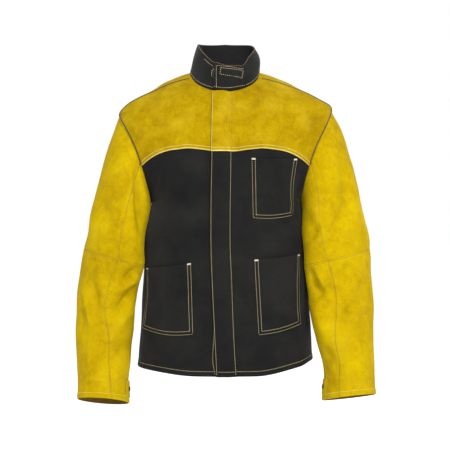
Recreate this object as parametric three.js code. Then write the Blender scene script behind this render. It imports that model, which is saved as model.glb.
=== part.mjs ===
// A leather welding jacket, worn shape: split-leather yoke and sleeves on a black flame-retardant cotton
// body. Millimetres, +Z up, front towards -Y, the wearer's left towards +X. The origin is midway between
// the two points where collar meets shoulder.
import * as THREE from "three";

// ---- Driving dimensions ----
const LEATHER = 2.0;
const COTTON = 1.6;
const GAP = 0.8; // between two pieces sewn edge to edge
const ARMHOLE_GAP = 1.4;
const SHOULDER_TIP = { x: 264, z: -103 };
const ARMPIT = { x: 184, z: -320 };
const ARMHOLE_DEPTH = 86; // half the armhole, front to back
const HEM_LEVEL = -738;
const YOKE_LEVEL = -203;
// How far the yoke seam falls on its way to the armholes, and between which distances from the centre.
const YOKE_DIP = { depth: 30, from: 118, to: 203, power: 1.8 };
const NECK = { halfWidth: 84, frontDrop: 59, backDrop: 12 };
const RIM = { halfWidth: 69, front: 80, back: 58, frontLevel: 4, sideRise: 72, backRise: 9 };
const SHOULDER_SEAM = THREE.MathUtils.degToRad(78); // slice angle, counted from the centre of the front
const SIDE_SEAM = THREE.MathUtils.degToRad(95);
const SEAM_ANGLE = THREE.MathUtils.degToRad(0.4); // half the gap at a lengthwise seam
const SQUARENESS = 2.4; // superellipse exponent of the body's level slices
const FLAP = { seamTop: 13, seamHem: 25, rise: 0.8, standOff: 4.4, thickness: 2.4 };
const UNDERLAP = 8; // the right front runs this far past the centre, beneath the flap
// The front's press studs, and the heights of studs and sockets above the front.
const STUD = {
  levels: [-150, -290, -430, -570, -700],
  x: -6,
  radius: 6.5,
  low: 0.4,
  high: 1.9,
  socketLow: 2.2,
  socketHigh: 3.6,
};
// The cuff strap and its press stud: ring and arc on the sleeve, and heights above the leather.
const CUFF = { fromRing: 10.25, toRing: 10.75, fromAngle: 162, toAngle: 200, low: 2.8, high: 4.8 };
const CUFF_STUD = { ring: 10.5, angle: 190, radius: 6, low: 0.5, high: 2.2, capLow: 5.4, capHigh: 7.6 };

// [level, value] stations of the body's slices: half width, depth in front of the axis, depth behind it.
const HALF_WIDTHS = [
  [0, 84], [-12, 124], [-27, 160], [-42, 186], [-59, 219], [-87, 256], [-103, 264],
  [-320, 184], [-360, 186], [-420, 192], [-480, 199], [-540, 205], [-640, 211], [-740, 218],
];
const FRONT_DEPTHS = [
  [0, 30], [-12, 44], [-27, 62], [-59, 98], [-103, 119], [-205, 133], [-420, 136], [-740, 137],
];
const BACK_DEPTHS = [
  [0, 48], [-12, 66], [-27, 82], [-59, 102], [-103, 119], [-205, 136], [-420, 134], [-740, 140],
];
// [level, x] stations of the storm flap's free edge.
const FLAP_FREE = [[0, -30.5], [-215, -34], [-415, -36], [-550, -31.5], [-640, -27], [-740, -22]];

// Sleeve rings from armhole to cuff: inner and outer edge seen from the front, half depth, and how far
// forward the ring's middle lies. Ring 6 is the elbow seam.
const SLEEVE_RINGS = [
  { inner: [184, -320], outer: [264, -103], depth: 86, forward: 0 },
  { inner: [187, -337], outer: [289, -157], depth: 90, forward: 2 },
  { inner: [189, -352], outer: [309, -217], depth: 93, forward: 5 },
  { inner: [190, -372], outer: [324, -277], depth: 94, forward: 8 },
  { inner: [191, -397], outer: [336, -337], depth: 92, forward: 12 },
  { inner: [195, -431], outer: [350, -397], depth: 88, forward: 16 },
  { inner: [202, -477], outer: [357, -437], depth: 82, forward: 20 },
  { inner: [213, -530], outer: [363, -517], depth: 76, forward: 28 },
  { inner: [226, -585], outer: [367, -577], depth: 73, forward: 38 },
  { inner: [232, -655], outer: [366, -650], depth: 70, forward: 52 },
  { inner: [237, -725], outer: [363, -720], depth: 67, forward: 64 },
  { inner: [236, -802], outer: [362, -790], depth: 64, forward: 76 },
];
const ELBOW_RING = 6;
const CUFF_RING = 11;
// Ring angle of the two lengthwise seams, counted from the outer edge.
const SLEEVE_SEAM = THREE.MathUtils.degToRad(104);

const leather = new THREE.MeshStandardMaterial({ color: 0xd9b312, roughness: 0.85, metalness: 0 });
const cotton = new THREE.MeshStandardMaterial({ color: 0x232326, roughness: 0.95, metalness: 0 });
const hookTape = new THREE.MeshStandardMaterial({ color: 0x17171a, roughness: 0.9, metalness: 0 });
const studMetal = new THREE.MeshStandardMaterial({ color: 0x2a2a2c, roughness: 0.4, metalness: 0.8 });
const labelCloth = new THREE.MeshStandardMaterial({ color: 0xd8d4c8, roughness: 0.9, metalness: 0 });

const jacket = new THREE.Group();

// ---- Small helpers ----
const lerp = THREE.MathUtils.lerp;
const smoothstep = THREE.MathUtils.smoothstep;

function signedPower(value, exponent) {
  return Math.sign(value) * Math.abs(value) ** exponent;
}

// A smooth curve through [position, value] stations, whose positions fall from first to last.
function curveThrough(stations) {
  const slope = (i) => {
    const a = stations[Math.max(i - 1, 0)];
    const b = stations[Math.min(i + 1, stations.length - 1)];
    return (b[1] - a[1]) / (b[0] - a[0]);
  };
  return (position) => {
    const last = stations.length - 1;
    if (position >= stations[0][0]) return stations[0][1];
    if (position <= stations[last][0]) return stations[last][1];
    const i = stations.findIndex((station) => station[0] < position) - 1;
    const [from, to] = [stations[i], stations[i + 1]];
    const span = to[0] - from[0];
    const t = (position - from[0]) / span;
    const hermite = [
      (1 + 2 * t) * (1 - t) ** 2 * from[1],
      t * (1 - t) ** 2 * span * slope(i),
      t * t * (3 - 2 * t) * to[1],
      t * t * (t - 1) * span * slope(i + 1),
    ];
    return hermite.reduce((sum, term) => sum + term);
  };
}

// ---- The body's surface ----
const halfWidthStation = curveThrough(HALF_WIDTHS);
const frontDepthStation = curveThrough(FRONT_DEPTHS);
const backDepthStation = curveThrough(BACK_DEPTHS);

function armholeDrop(level) {
  return (SHOULDER_TIP.z - level) / (SHOULDER_TIP.z - ARMPIT.z);
}

function depthAt(level, isFront) {
  return isFront ? frontDepthStation(level) : backDepthStation(level);
}

// Where a slice meets the armhole plane, as a slice angle between 0 and 90 degrees from front or back.
function armholeAngle(level, isFront) {
  const drop = armholeDrop(level);
  if (drop <= 0 || drop >= 1) return Math.PI / 2;
  const halfOpening = ARMHOLE_DEPTH * Math.sqrt(1 - (2 * drop - 1) ** 2);
  return Math.acos((halfOpening / depthAt(level, isFront)) ** (SQUARENESS / 2));
}

function halfWidthAt(level, isFront) {
  const drop = armholeDrop(level);
  if (drop <= 0 || drop >= 1) return halfWidthStation(level);
  const planeX = lerp(SHOULDER_TIP.x, ARMPIT.x, drop);
  return planeX / Math.sin(armholeAngle(level, isFront)) ** (2 / SQUARENESS);
}

// The point of the body at a slice angle (0 front, 90 the wearer's left, 180 back) and a level.
function bodyPoint(angle, level, offset = 0) {
  const isFront = Math.cos(angle) >= 0;
  const width = halfWidthAt(level, isFront);
  const depth = depthAt(level, isFront);
  const x = width * signedPower(Math.sin(angle), 2 / SQUARENESS);
  const y = -depth * signedPower(Math.cos(angle), 2 / SQUARENESS);
  const point = new THREE.Vector3(x, y, level);
  if (offset === 0) return point;
  const step = 0.5;
  const widthSlope = (halfWidthAt(level + step, isFront) - width) / step;
  const depthSlope = (depthAt(level + step, isFront) - depth) / step;
  const shareX = Math.abs(x / width) ** SQUARENESS;
  const shareY = Math.abs(y / depth) ** SQUARENESS;
  const normal = new THREE.Vector3(
    signedPower(x / width, SQUARENESS - 1) / width,
    signedPower(y / depth, SQUARENESS - 1) / depth,
    -(shareX * widthSlope) / width - (shareY * depthSlope) / depth,
  );
  return point.addScaledVector(normal.normalize(), offset);
}

function angleOfX(x, level) {
  const width = halfWidthAt(level, true);
  const share = THREE.MathUtils.clamp(x / width, -1, 1);
  return Math.asin(signedPower(share, SQUARENESS / 2));
}

// A point of the front given by its place seen from the front.
function frontPoint(x, level, offset) {
  return bodyPoint(angleOfX(x, level), level, offset);
}

// The yoke seam dips towards the armholes, and takes the rows near it along.
function dippedLevel(x, level) {
  const nearness = level > YOKE_LEVEL
    ? smoothstep(level, YOKE_LEVEL - 1, SHOULDER_TIP.z)
    : smoothstep(-level, -YOKE_LEVEL + 1, -ARMPIT.z + 20);
  const reach = Math.max(0, (Math.abs(x) - YOKE_DIP.from) / (YOKE_DIP.to - YOKE_DIP.from));
  return level - YOKE_DIP.depth * (1 - nearness) * Math.min(reach, 1.1) ** YOKE_DIP.power;
}

// ---- Solids ----
// A thin closed solid between two grids of points, outer(u, v) and inner(u, v), with u and v from 0 to 1.
function sheetGeometry(outer, inner, columns, rows) {
  const points = [];
  for (const face of [outer, inner]) {
    for (let j = 0; j <= rows; j += 1) {
      for (let i = 0; i <= columns; i += 1) points.push(face(i / columns, j / rows));
    }
  }
  const layer = (columns + 1) * (rows + 1);
  const at = (i, j) => j * (columns + 1) + i;
  const index = [];
  const quad = (a, b, c, d) => index.push(a, b, c, a, c, d);
  for (let j = 0; j < rows; j += 1) {
    for (let i = 0; i < columns; i += 1) {
      const corners = [at(i, j), at(i, j + 1), at(i + 1, j + 1), at(i + 1, j)];
      quad(...corners);
      quad(...corners.map((corner) => corner + layer).reverse());
    }
  }
  const wall = (a, b) => quad(a, b, b + layer, a + layer);
  for (let i = 0; i < columns; i += 1) {
    wall(at(i, 0), at(i + 1, 0));
    wall(at(i + 1, rows), at(i, rows));
  }
  for (let j = 0; j < rows; j += 1) {
    wall(at(0, j + 1), at(0, j));
    wall(at(columns, j), at(columns, j + 1));
  }
  return facingOut(points, index);
}

function facingOut(points, index) {
  let volume = 0;
  for (let i = 0; i < index.length; i += 3) {
    const [a, b, c] = [points[index[i]], points[index[i + 1]], points[index[i + 2]]];
    volume += a.dot(new THREE.Vector3().crossVectors(b, c));
  }
  if (volume < 0) index.reverse();
  const geometry = new THREE.BufferGeometry().setFromPoints(points);
  geometry.setIndex(index);
  geometry.computeVertexNormals();
  return geometry;
}

function addMesh(name, geometry, material) {
  const mesh = new THREE.Mesh(geometry, material.clone());
  mesh.name = name;
  jacket.add(mesh);
  return mesh;
}

// A sheet whose faces lie at two offsets from one surface: place(u, v, offset).
function addSheet(name, material, place, outside, inside, columns, rows) {
  const outer = (u, v) => place(u, v, outside);
  const inner = (u, v) => place(u, v, inside);
  addMesh(name, sheetGeometry(outer, inner, columns, rows), material);
}

// A value read from a list at v from 0 to 1, straight between its entries.
function along(list, v) {
  const position = v * (list.length - 1);
  const i = Math.min(Math.floor(position), list.length - 2);
  return lerp(list[i], list[i + 1], position - i);
}

// ---- Yokes and body panels ----
const FRONT_YOKE_LEVELS = [
  -1.5, -6, -14, -26, -40, -52, -58.6, -62, -84, -103, -110, -130, -155, -180, YOKE_LEVEL + GAP / 2,
];
const BACK_YOKE_LEVELS = [
  -1.5, -8, -20, -38, -60, -82, -101, -103.3, -112, -130, -155, -180, YOKE_LEVEL + GAP / 2,
];
const BODY_LEVELS = [
  YOKE_LEVEL - GAP / 2, -225, -250, -275, -298, -312, -319.5, -322, -345, -400, -460, -520, -590, -660,
  HEM_LEVEL,
];

function flapSeamX(level) {
  return lerp(FLAP.seamTop, FLAP.seamHem, level / HEM_LEVEL);
}

const flapFreeX = curveThrough(FLAP_FREE);

function necklineX(level, drop) {
  return NECK.halfWidth * Math.sqrt(Math.max(0, 1 - (level / drop) ** 2));
}

// The front's inner edge on one side, as a distance from the centre towards that side.
function innerEdge(side, level) {
  const neckline = level > -NECK.frontDrop ? necklineX(level, NECK.frontDrop) + GAP : -Infinity;
  const opening = side > 0 ? flapSeamX(level) + GAP : -UNDERLAP;
  return Math.max(neckline, opening);
}

// The slice angle that stops short of the armhole plane, counted from the front or from the back.
function armholeEdgeAngle(level, isFront) {
  const width = halfWidthAt(level, isFront);
  const planeX = lerp(SHOULDER_TIP.x, ARMPIT.x, armholeDrop(level));
  const share = Math.min(1, (planeX - ARMHOLE_GAP) / width);
  return Math.asin(share ** (SQUARENESS / 2));
}

function frontOuterAngle(level) {
  if (level < ARMPIT.z) return SIDE_SEAM - SEAM_ANGLE;
  return Math.min(SHOULDER_SEAM - SEAM_ANGLE, armholeEdgeAngle(level, true));
}

function frontPanelPlace(side, levels) {
  return (u, v, offset) => {
    const row = along(levels, v);
    const from = angleOfX(innerEdge(side, row), row);
    const rowAngle = lerp(from, frontOuterAngle(row), u);
    const rowX = halfWidthAt(row, true) * signedPower(Math.sin(rowAngle), 2 / SQUARENESS);
    const level = dippedLevel(rowX, row);
    const angle = lerp(angleOfX(innerEdge(side, level), level), frontOuterAngle(level), u);
    return bodyPoint(side * angle, level, offset);
  };
}

function backOuterAngle(level) {
  if (level < ARMPIT.z) return SIDE_SEAM + SEAM_ANGLE;
  return Math.PI - armholeEdgeAngle(level, false);
}

function backPanelPlace(u, v, offset) {
  const level = along(BODY_LEVELS, v);
  const from = backOuterAngle(level);
  return bodyPoint(lerp(from, 2 * Math.PI - from, u), level, offset);
}

// The back yoke runs from shoulder seam to shoulder seam: its top row follows the neckline.
function backYokePlace(u, v, offset) {
  const across = lerp(-1, 1, u);
  const neckDip = NECK.backDrop * Math.cos((across * Math.PI) / 2);
  const top = BACK_YOKE_LEVELS[0] - neckDip;
  const level = along(BACK_YOKE_LEVELS, v) - neckDip * (1 - smoothstep(v, 0, 0.35));
  const seam = SHOULDER_SEAM + SEAM_ANGLE;
  const edge = level < SHOULDER_TIP.z ? backOuterAngle(level) : seam;
  const topX = (NECK.halfWidth + GAP) * Math.sin((across * Math.PI) / 2);
  const topAngle = Math.asin(signedPower(topX / halfWidthAt(top, false), SQUARENESS / 2));
  const seamReach = Math.abs(across) ** 6 * (Math.PI / 2 - seam + Math.PI / 2 - Math.abs(topAngle));
  const onNeckline = topAngle + Math.sign(across) * Math.min(seamReach, Math.PI - seam - Math.abs(topAngle));
  const onRow = across * (Math.PI - edge);
  const fromCentre = lerp(onNeckline, onRow, smoothstep(v, 0, 0.35));
  return bodyPoint(Math.PI - fromCentre, level, offset);
}

function addBody() {
  for (const [name, side] of [["left", 1], ["right", -1]]) {
    addSheet(`${name}_front_yoke`, leather, frontPanelPlace(side, FRONT_YOKE_LEVELS), 0, -LEATHER, 10, 14);
    addSheet(`${name}_front_panel`, cotton, frontPanelPlace(side, BODY_LEVELS), 0, -COTTON, 10, 14);
  }
  addSheet("back_yoke", leather, backYokePlace, 0, -LEATHER, 20, 12);
  addSheet("back_panel", cotton, backPanelPlace, 0, -COTTON, 20, 14);
}

// ---- Storm flap and its studs ----
function flapPlace(fromLevel, toLevel) {
  return (u, v, offset) => {
    const level = lerp(fromLevel, toLevel, v);
    const lift = lerp(FLAP.rise, FLAP.standOff, smoothstep(u, 0, 0.4));
    return frontPoint(lerp(flapSeamX(level), flapFreeX(level), u), level, lift + offset);
  };
}

// A round stud part standing on the front at a level, from one height to another.
function addFrontDisc(name, level, low, high) {
  const base = frontPoint(STUD.x, level, low);
  const tip = frontPoint(STUD.x, level, high);
  addDisc(name, base, tip, STUD.radius);
}

function addDisc(name, base, tip, radius) {
  const height = base.distanceTo(tip);
  const profile = [[0, 0], [radius, 0], [radius, height * 0.6], [radius * 0.8, height], [0, height]];
  const geometry = new THREE.LatheGeometry(profile.map(([r, h]) => new THREE.Vector2(r, h)), 14);
  const mesh = addMesh(name, geometry, studMetal);
  mesh.position.copy(base);
  mesh.quaternion.setFromUnitVectors(new THREE.Vector3(0, 1, 0), tip.clone().sub(base).normalize());
}

function addStormFlap() {
  const top = -NECK.frontDrop - 3;
  addSheet("storm_flap_leather", leather, flapPlace(top, YOKE_LEVEL + GAP / 2), FLAP.thickness, 0, 5, 6);
  addSheet("storm_flap_cotton", cotton, flapPlace(YOKE_LEVEL - GAP / 2, HEM_LEVEL), FLAP.thickness, 0, 5, 14);
  STUD.levels.forEach((level, i) => {
    addFrontDisc(`front_stud_${i + 1}`, level, STUD.low, STUD.high);
    addFrontDisc(`front_socket_${i + 1}`, level, STUD.socketLow, STUD.socketHigh);
  });
}

// ---- Pockets ----
// A patch pocket: corners as [x, z] seen from the front, open along its top edge.
function addPocket(name, corners, bulge, sag) {
  const place = (u, v, offset) => {
    const topX = lerp(corners.topInner[0], corners.topOuter[0], u);
    const x = lerp(topX, lerp(corners.lowInner[0], corners.lowOuter[0], u), v);
    const top = lerp(corners.topInner[1], corners.topOuter[1], u);
    const low = lerp(corners.lowInner[1], corners.lowOuter[1], u) - sag * Math.sin(Math.PI * u);
    const lift = bulge * Math.sin(Math.PI * u) ** 0.7 * (1 - v) ** 0.35;
    return frontPoint(x, lerp(top, low, v), 1 + lift + offset);
  };
  addSheet(name, cotton, place, COTTON, 0, 10, 8);
}

function addPockets() {
  const chest = { topInner: [61, -226], topOuter: [170, -229], lowInner: [63, -364], lowOuter: [159, -357] };
  const leftHip = { topInner: [67, -461], topOuter: [179, -450], lowInner: [77, -641], lowOuter: [181, -619] };
  const rightHip = { topInner: [-81, -469], topOuter: [-190, -484], lowInner: [-76, -639], lowOuter: [-199, -630] };
  addPocket("chest_pocket", chest, 11, 5);
  addPocket("left_hip_pocket", leftHip, 12, 4);
  addPocket("right_hip_pocket", rightHip, 12, 5);
}

// ---- Collar ----
// The collar's surface: turn is 0 at the front, 90 degrees at the wearer's left; height 0 base to 1 rim.
function collarPoint(turn, height, offset) {
  const isFront = Math.cos(turn) >= 0;
  const drop = isFront ? NECK.frontDrop : NECK.backDrop;
  const baseLevel = -drop * Math.abs(Math.cos(turn));
  const baseX = NECK.halfWidth * Math.sin(turn);
  const share = Math.min(1, Math.abs(baseX) / halfWidthAt(baseLevel, isFront));
  const depthShare = (1 - share ** SQUARENESS) ** (1 / SQUARENESS);
  const baseY = -Math.sign(Math.cos(turn)) * depthAt(baseLevel, isFront) * depthShare;
  const rimX = RIM.halfWidth * Math.sin(turn);
  const rimY = -(isFront ? RIM.front : RIM.back) * Math.cos(turn);
  const towardsFront = Math.max(0, Math.cos(turn));
  const towardsBack = Math.max(0, -Math.cos(turn));
  const rimLevel = RIM.frontLevel + RIM.sideRise * (1 - towardsFront) ** 0.75 + RIM.backRise * towardsBack;
  const out = new THREE.Vector3(Math.sin(turn), -Math.cos(turn), 0);
  const base = new THREE.Vector3(baseX, baseY, baseLevel);
  return base.lerp(new THREE.Vector3(rimX, rimY, rimLevel), height).addScaledVector(out, offset);
}

function turnOfX(x) {
  return Math.asin(x / NECK.halfWidth);
}

function collarPlace(fromTurn, toTurn, fromHeight = 0.03, toHeight = 1, lift = () => 0) {
  return (u, v, offset) => {
    const turn = lerp(fromTurn, toTurn, u);
    return collarPoint(turn, lerp(fromHeight, toHeight, v), offset + lift(u));
  };
}

const TAB = { hingeX: 48, freeX: -28, standOff: 3.4 };

function addCollar() {
  const bandFrom = turnOfX(TAB.hingeX) + 0.03;
  const bandTo = 2 * Math.PI + turnOfX(TAB.hingeX - 22);
  addSheet("collar_shell", cotton, collarPlace(bandFrom, bandTo), 0, -COTTON, 40, 4);
  const lining = collarPlace(bandFrom, bandTo, 0.03, 0.97);
  addSheet("collar_lining", cotton, lining, -COTTON - 0.4, -2 * COTTON - 0.2, 40, 4);
  const tabLift = (u) => 0.4 + (TAB.standOff - 0.4) * smoothstep(u, 0, 0.25);
  const tab = collarPlace(turnOfX(TAB.hingeX), turnOfX(TAB.freeX), 0.03, 1, tabLift);
  addSheet("collar_tab", cotton, tab, COTTON, 0, 10, 4);
  addSheet("collar_loop_patch", hookTape, collarPlace(turnOfX(24), turnOfX(-35), 0.4, 0.8), 1.5, 0.4, 8, 2);
  addSheet("collar_hook_patch", hookTape, collarPlace(turnOfX(28), turnOfX(-13), 0.4, 0.8), 3.0, 1.9, 6, 2);
}

// ---- Hanger loop and size label inside the back of the neck ----
function addNeckFittings() {
  const loop = { halfSpan: 30, reach: 13, width: 10.2, thickness: 1.6, endY: 53.5, low: -7.2 };
  const outline = new THREE.Shape();
  outline.moveTo(-loop.halfSpan, 0);
  outline.quadraticCurveTo(0, -2 * loop.reach, loop.halfSpan, 0);
  outline.lineTo(loop.halfSpan, loop.thickness);
  outline.quadraticCurveTo(0, -2 * loop.reach + loop.thickness, -loop.halfSpan, loop.thickness);
  outline.closePath();
  const sweep = { depth: loop.width, bevelEnabled: false, curveSegments: 10 };
  const ribbon = new THREE.ExtrudeGeometry(outline, sweep);
  addMesh("hanger_loop", ribbon, cotton).position.set(0, loop.endY, loop.low);
  const label = (u, v, offset) => bodyPoint(Math.PI + lerp(-0.05, 0.05, u), lerp(-40, -62, v), offset);
  addSheet("size_label", labelCloth, label, -LEATHER - 1, -LEATHER - 1.6, 4, 2);
}

// ---- Sleeves ----
const ringValue = (read) => curveThrough(SLEEVE_RINGS.map((ring, i) => [-i, read(ring)]));
const ringInnerX = ringValue((ring) => ring.inner[0]);
const ringInnerZ = ringValue((ring) => ring.inner[1]);
const ringOuterX = ringValue((ring) => ring.outer[0]);
const ringOuterZ = ringValue((ring) => ring.outer[1]);
const ringDepth = ringValue((ring) => ring.depth);
const ringForward = ringValue((ring) => ring.forward);

// The sleeve's surface: ring counts from the armhole, angle 0 is its outer edge and -90 degrees its front.
function sleevePoint(side, ring, angle, offset) {
  const inner = new THREE.Vector3(ringInnerX(-ring), 0, ringInnerZ(-ring));
  const outer = new THREE.Vector3(ringOuterX(-ring), 0, ringOuterZ(-ring));
  const across = outer.clone().sub(inner).multiplyScalar(0.5);
  const centre = inner.add(outer).multiplyScalar(0.5);
  const halfLength = across.length();
  centre.addScaledVector(across.normalize(), (halfLength + offset) * Math.cos(angle));
  centre.y = (ringDepth(-ring) + offset) * Math.sin(angle) - ringForward(-ring);
  centre.x *= side;
  return centre;
}

function sleevePlace(side, fromRing, toRing, fromAngle, toAngle) {
  return (u, v, offset) => sleevePoint(side, lerp(fromRing, toRing, v), lerp(fromAngle, toAngle, u), offset);
}

function addSleeve(name, side) {
  const seam = SLEEVE_SEAM;
  const half = 0.006; // half the seam gap, radians
  const arcs = { top: [-seam + half, seam - half], under: [seam + half, 2 * Math.PI - seam - half] };
  for (const [arcName, arc] of Object.entries(arcs)) {
    const upper = sleevePlace(side, 0.03, ELBOW_RING - 0.01, ...arc);
    const lower = sleevePlace(side, ELBOW_RING + 0.01, CUFF_RING, ...arc);
    addSheet(`${name}_upper_sleeve_${arcName}`, leather, upper, 0, -LEATHER, 10, 8);
    addSheet(`${name}_lower_sleeve_${arcName}`, leather, lower, 0, -LEATHER, 10, 6);
  }
  const tabArc = [CUFF.fromAngle, CUFF.toAngle].map(THREE.MathUtils.degToRad);
  const tab = sleevePlace(side, CUFF.fromRing, CUFF.toRing, ...tabArc);
  addSheet(`${name}_cuff_tab`, leather, tab, CUFF.high, CUFF.low, 5, 2);
  const studAngle = THREE.MathUtils.degToRad(CUFF_STUD.angle);
  const studPlace = (offset) => sleevePoint(side, CUFF_STUD.ring, studAngle, offset);
  addDisc(`${name}_cuff_socket`, studPlace(CUFF_STUD.low), studPlace(CUFF_STUD.high), CUFF_STUD.radius);
  addDisc(`${name}_cuff_cap`, studPlace(CUFF_STUD.capLow), studPlace(CUFF_STUD.capHigh), CUFF_STUD.radius);
}

addBody();
addStormFlap();
addPockets();
addCollar();
addNeckFittings();
addSleeve("left", 1);
addSleeve("right", -1);

export default jacket;
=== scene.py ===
# A leather welding jacket: split-leather yoke and sleeves on a black cotton body, over its CAD frame.
import math

import bpy
import numpy as np
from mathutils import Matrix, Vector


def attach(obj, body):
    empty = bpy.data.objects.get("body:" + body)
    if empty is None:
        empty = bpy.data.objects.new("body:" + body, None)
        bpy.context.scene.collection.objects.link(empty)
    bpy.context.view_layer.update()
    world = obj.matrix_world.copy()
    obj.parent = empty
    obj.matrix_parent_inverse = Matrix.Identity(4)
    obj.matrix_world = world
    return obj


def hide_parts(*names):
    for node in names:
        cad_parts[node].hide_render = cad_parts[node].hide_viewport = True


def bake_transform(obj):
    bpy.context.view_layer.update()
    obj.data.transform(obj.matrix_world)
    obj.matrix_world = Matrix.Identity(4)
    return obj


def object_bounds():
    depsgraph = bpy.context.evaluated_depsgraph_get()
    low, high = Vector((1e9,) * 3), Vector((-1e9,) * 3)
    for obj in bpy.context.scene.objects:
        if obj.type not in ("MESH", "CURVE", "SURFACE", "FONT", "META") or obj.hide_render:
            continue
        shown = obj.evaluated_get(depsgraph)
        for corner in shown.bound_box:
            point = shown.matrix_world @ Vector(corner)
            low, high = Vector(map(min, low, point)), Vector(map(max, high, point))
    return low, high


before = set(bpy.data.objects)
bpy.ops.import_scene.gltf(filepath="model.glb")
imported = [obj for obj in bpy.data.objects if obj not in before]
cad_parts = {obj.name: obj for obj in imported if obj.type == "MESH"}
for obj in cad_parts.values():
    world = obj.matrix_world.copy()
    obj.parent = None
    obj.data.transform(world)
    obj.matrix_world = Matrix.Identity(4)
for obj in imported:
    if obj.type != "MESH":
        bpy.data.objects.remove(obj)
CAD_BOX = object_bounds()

# ---- Driving dimensions, millimetres (the frame is in metres) ----
MM = 0.001
LEATHER = 1.8
COTTON = 1.3
SHOULDER_TIP = (264.0, -103.0)
ARMPIT = (184.0, -320.0)
ARMHOLE_DEPTH = 86.0
ARMHOLE_SCOOP = 14.0  # how far the armhole is cut in towards the chest
HEM_LEVEL = -738.0
HEM_LIFT_FROM = 560.0  # below this depth the rows rise with the hem
YOKE_LEVEL = -203.0
PANEL_TOP = YOKE_LEVEL + 9.0  # the cotton runs this far up beneath the leather
NECK_GAP = -0.6
YOKE_DIP = {"depth": 30.0, "from": 118.0, "to": 203.0, "power": 1.8}
YOKE_CENTRE_DIP = 4.0
YOKE_RISE = {"height": 3.5, "at": 88.0, "width": 25.0}
NECK_HALF_WIDTH = 84.0
NECK_FRONT_DROP = 59.0
NECK_BACK_DROP = 12.0
NECK_SEAM_TURN = math.radians(70)
RIM = {"right": 68.5, "left": 72.5, "front": 80.0, "back": 58.0, "front_level": 4.0}
# How far the collar's rim rises on its way round, by degrees from the front.
RIM_RISE = {
    "right": [(0, 0), (-27, 14), (-46, 33), (-63, 50.5), (-77, 62), (-90, 68), (-120, 72), (-180, 77.5)],
    "left": [(0, 0), (-30, 2), (-40, 11), (-53, 31), (-80, 53), (-92, 58), (-120, 71), (-180, 77.5)],
}
SIDE_SEAM = math.radians(95)
SQUARENESS = 2.4
UNDERLAP = 8.0  # how far the right front runs past the centre, beneath the flap
FLAP_HOLD = 14.0  # how far the left front runs beneath the flap's sewn edge
ELBOW_RING = 6
CUFF_RING = 11
BACK_SEAM = math.radians(104)  # round from the sleeve's outer edge
STITCH = {"pitch": 5.0, "length": 3.4, "radius": 0.46}
STITCH_SINK = 0.15
# Stitches laid in a seam's crease as a dark line: thread, and the crease's painted shade.
SEAM_SHADE_STITCH = {"pitch": 3.4, "length": 3.3, "radius": 0.6}
SHOULDER_SHADE_STITCH = {"pitch": 3.4, "length": 3.3, "radius": 1.25}
LAP_RADIUS = 0.75
# How far in from an edge each kind of seam is stitched.
ARMHOLE_INSET = 0.9
SEAM_INSET = 2.6
ELBOW_INSET = 3.2
LAP_INSET = 9.0
HEM_INSET = 12.4
EDGE_HIGHLIGHT_WIDTH = 2.2  # how wide a band of pale cut-edge leather is painted on a lapped leather's face: the cut edge's own paler colour and a painted highlight
EDGE_ROWS = (0, 0.6, 1.4, 2.4, 3.6, 4.6, 5.6, 7.2, 9.5)  # rows of the mesh close to an edge
FEW_EDGE_ROWS = EDGE_ROWS[:5]

HALF_WIDTHS = [
    (0, 84), (-12, 124), (-27, 160), (-42, 184), (-59, 218), (-87, 256), (-103, 264), (-320, 184),
    (-350, 190), (-380, 195), (-420, 199), (-480, 203), (-540, 206.5), (-600, 209), (-660, 213), (-740, 219),
]
FRONT_DEPTHS = [
    (0, 30), (-12, 44), (-27, 62), (-59, 98), (-103, 119), (-205, 133), (-420, 136), (-740, 137),
]
BACK_DEPTHS = [
    (0, 48), (-12, 66), (-27, 82), (-59, 102), (-103, 119), (-205, 136), (-420, 134), (-740, 140),
]
# Where the shoulder seam runs in front of the ridge of the shoulder, by level.
SEAM_FORWARD = [(0, 48), (-20, 48), (-45, 47), (-68, 38), (-103, 24)]
FLAP_SEAM = [(0, 13), (-215, 14), (-415, 12), (-520, 16), (-620, 19.5), (-740, 26)]
FLAP_FREE = [(0, -30.5), (-215, -34), (-415, -36), (-550, -31.5), (-640, -27), (-740, -22)]
# Inner z, outer z, half depth, forward: one row per ring from armhole to cuff.
SLEEVE_RINGS = [
    (-320, -103, 86, 0), (-337, -157, 90, 2), (-352, -217, 93, 5), (-372, -277, 94, 8), (-397, -337, 92, 12),
    (-431, -397, 88, 16), (-477, -437, 82, 20), (-530, -517, 76, 28), (-585, -577, 73, 38),
    (-655, -650, 70, 52), (-725, -720, 67, 64), (-802, -790, 64, 76),
]
# The two sleeves hang differently. Per ring: inner x, outer x, how far the inner side leans forward,
# and the slice angle of the front seam in degrees.
SLEEVE_HANG = {
    1: [
        (184, 264, 0, 100), (187.5, 293.5, 32, 110), (187.5, 312, 48, 117), (187, 327, 54, 121),
        (185.5, 338, 54, 121), (186.5, 351, 54, 119), (189.5, 357, 52, 113), (198, 361.5, 46, 106),
        (204.5, 363.5, 38, 107), (219, 362, 20, 117), (239, 362, 4, 123), (234, 363, 0, 119),
    ],
    -1: [
        (184, 264, 0, 98), (185, 283, 24, 105), (186.5, 301.5, 38, 109), (190, 315.5, 46, 109),
        (195, 327.5, 50, 108), (198, 340, 52, 106), (196.5, 350, 50, 103), (212, 362, 40, 98),
        (221, 367, 24, 96), (228, 366, 10, 108), (235.5, 360.5, 0, 112), (233.5, 357.5, 0, 116),
    ],
}
BESIDE_BODY = 1.2  # the least room between a sleeve and the body it lies against
SHOULDER_SET = {1: 8.0, -1: -4.0}  # how much higher each shoulder's tip sits than in the plain shape
SIDE_FULLNESS = {1: (-345.0, 42.0, 9.0), -1: (-412.0, 46.0, 6.0)}  # level, half height, how far out
CUFF_DROP = {1: (-2.0, 0.0, 15.0), -1: (-8.0, -12.0, 19.0)}  # inner z, outer z, and front above back


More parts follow.
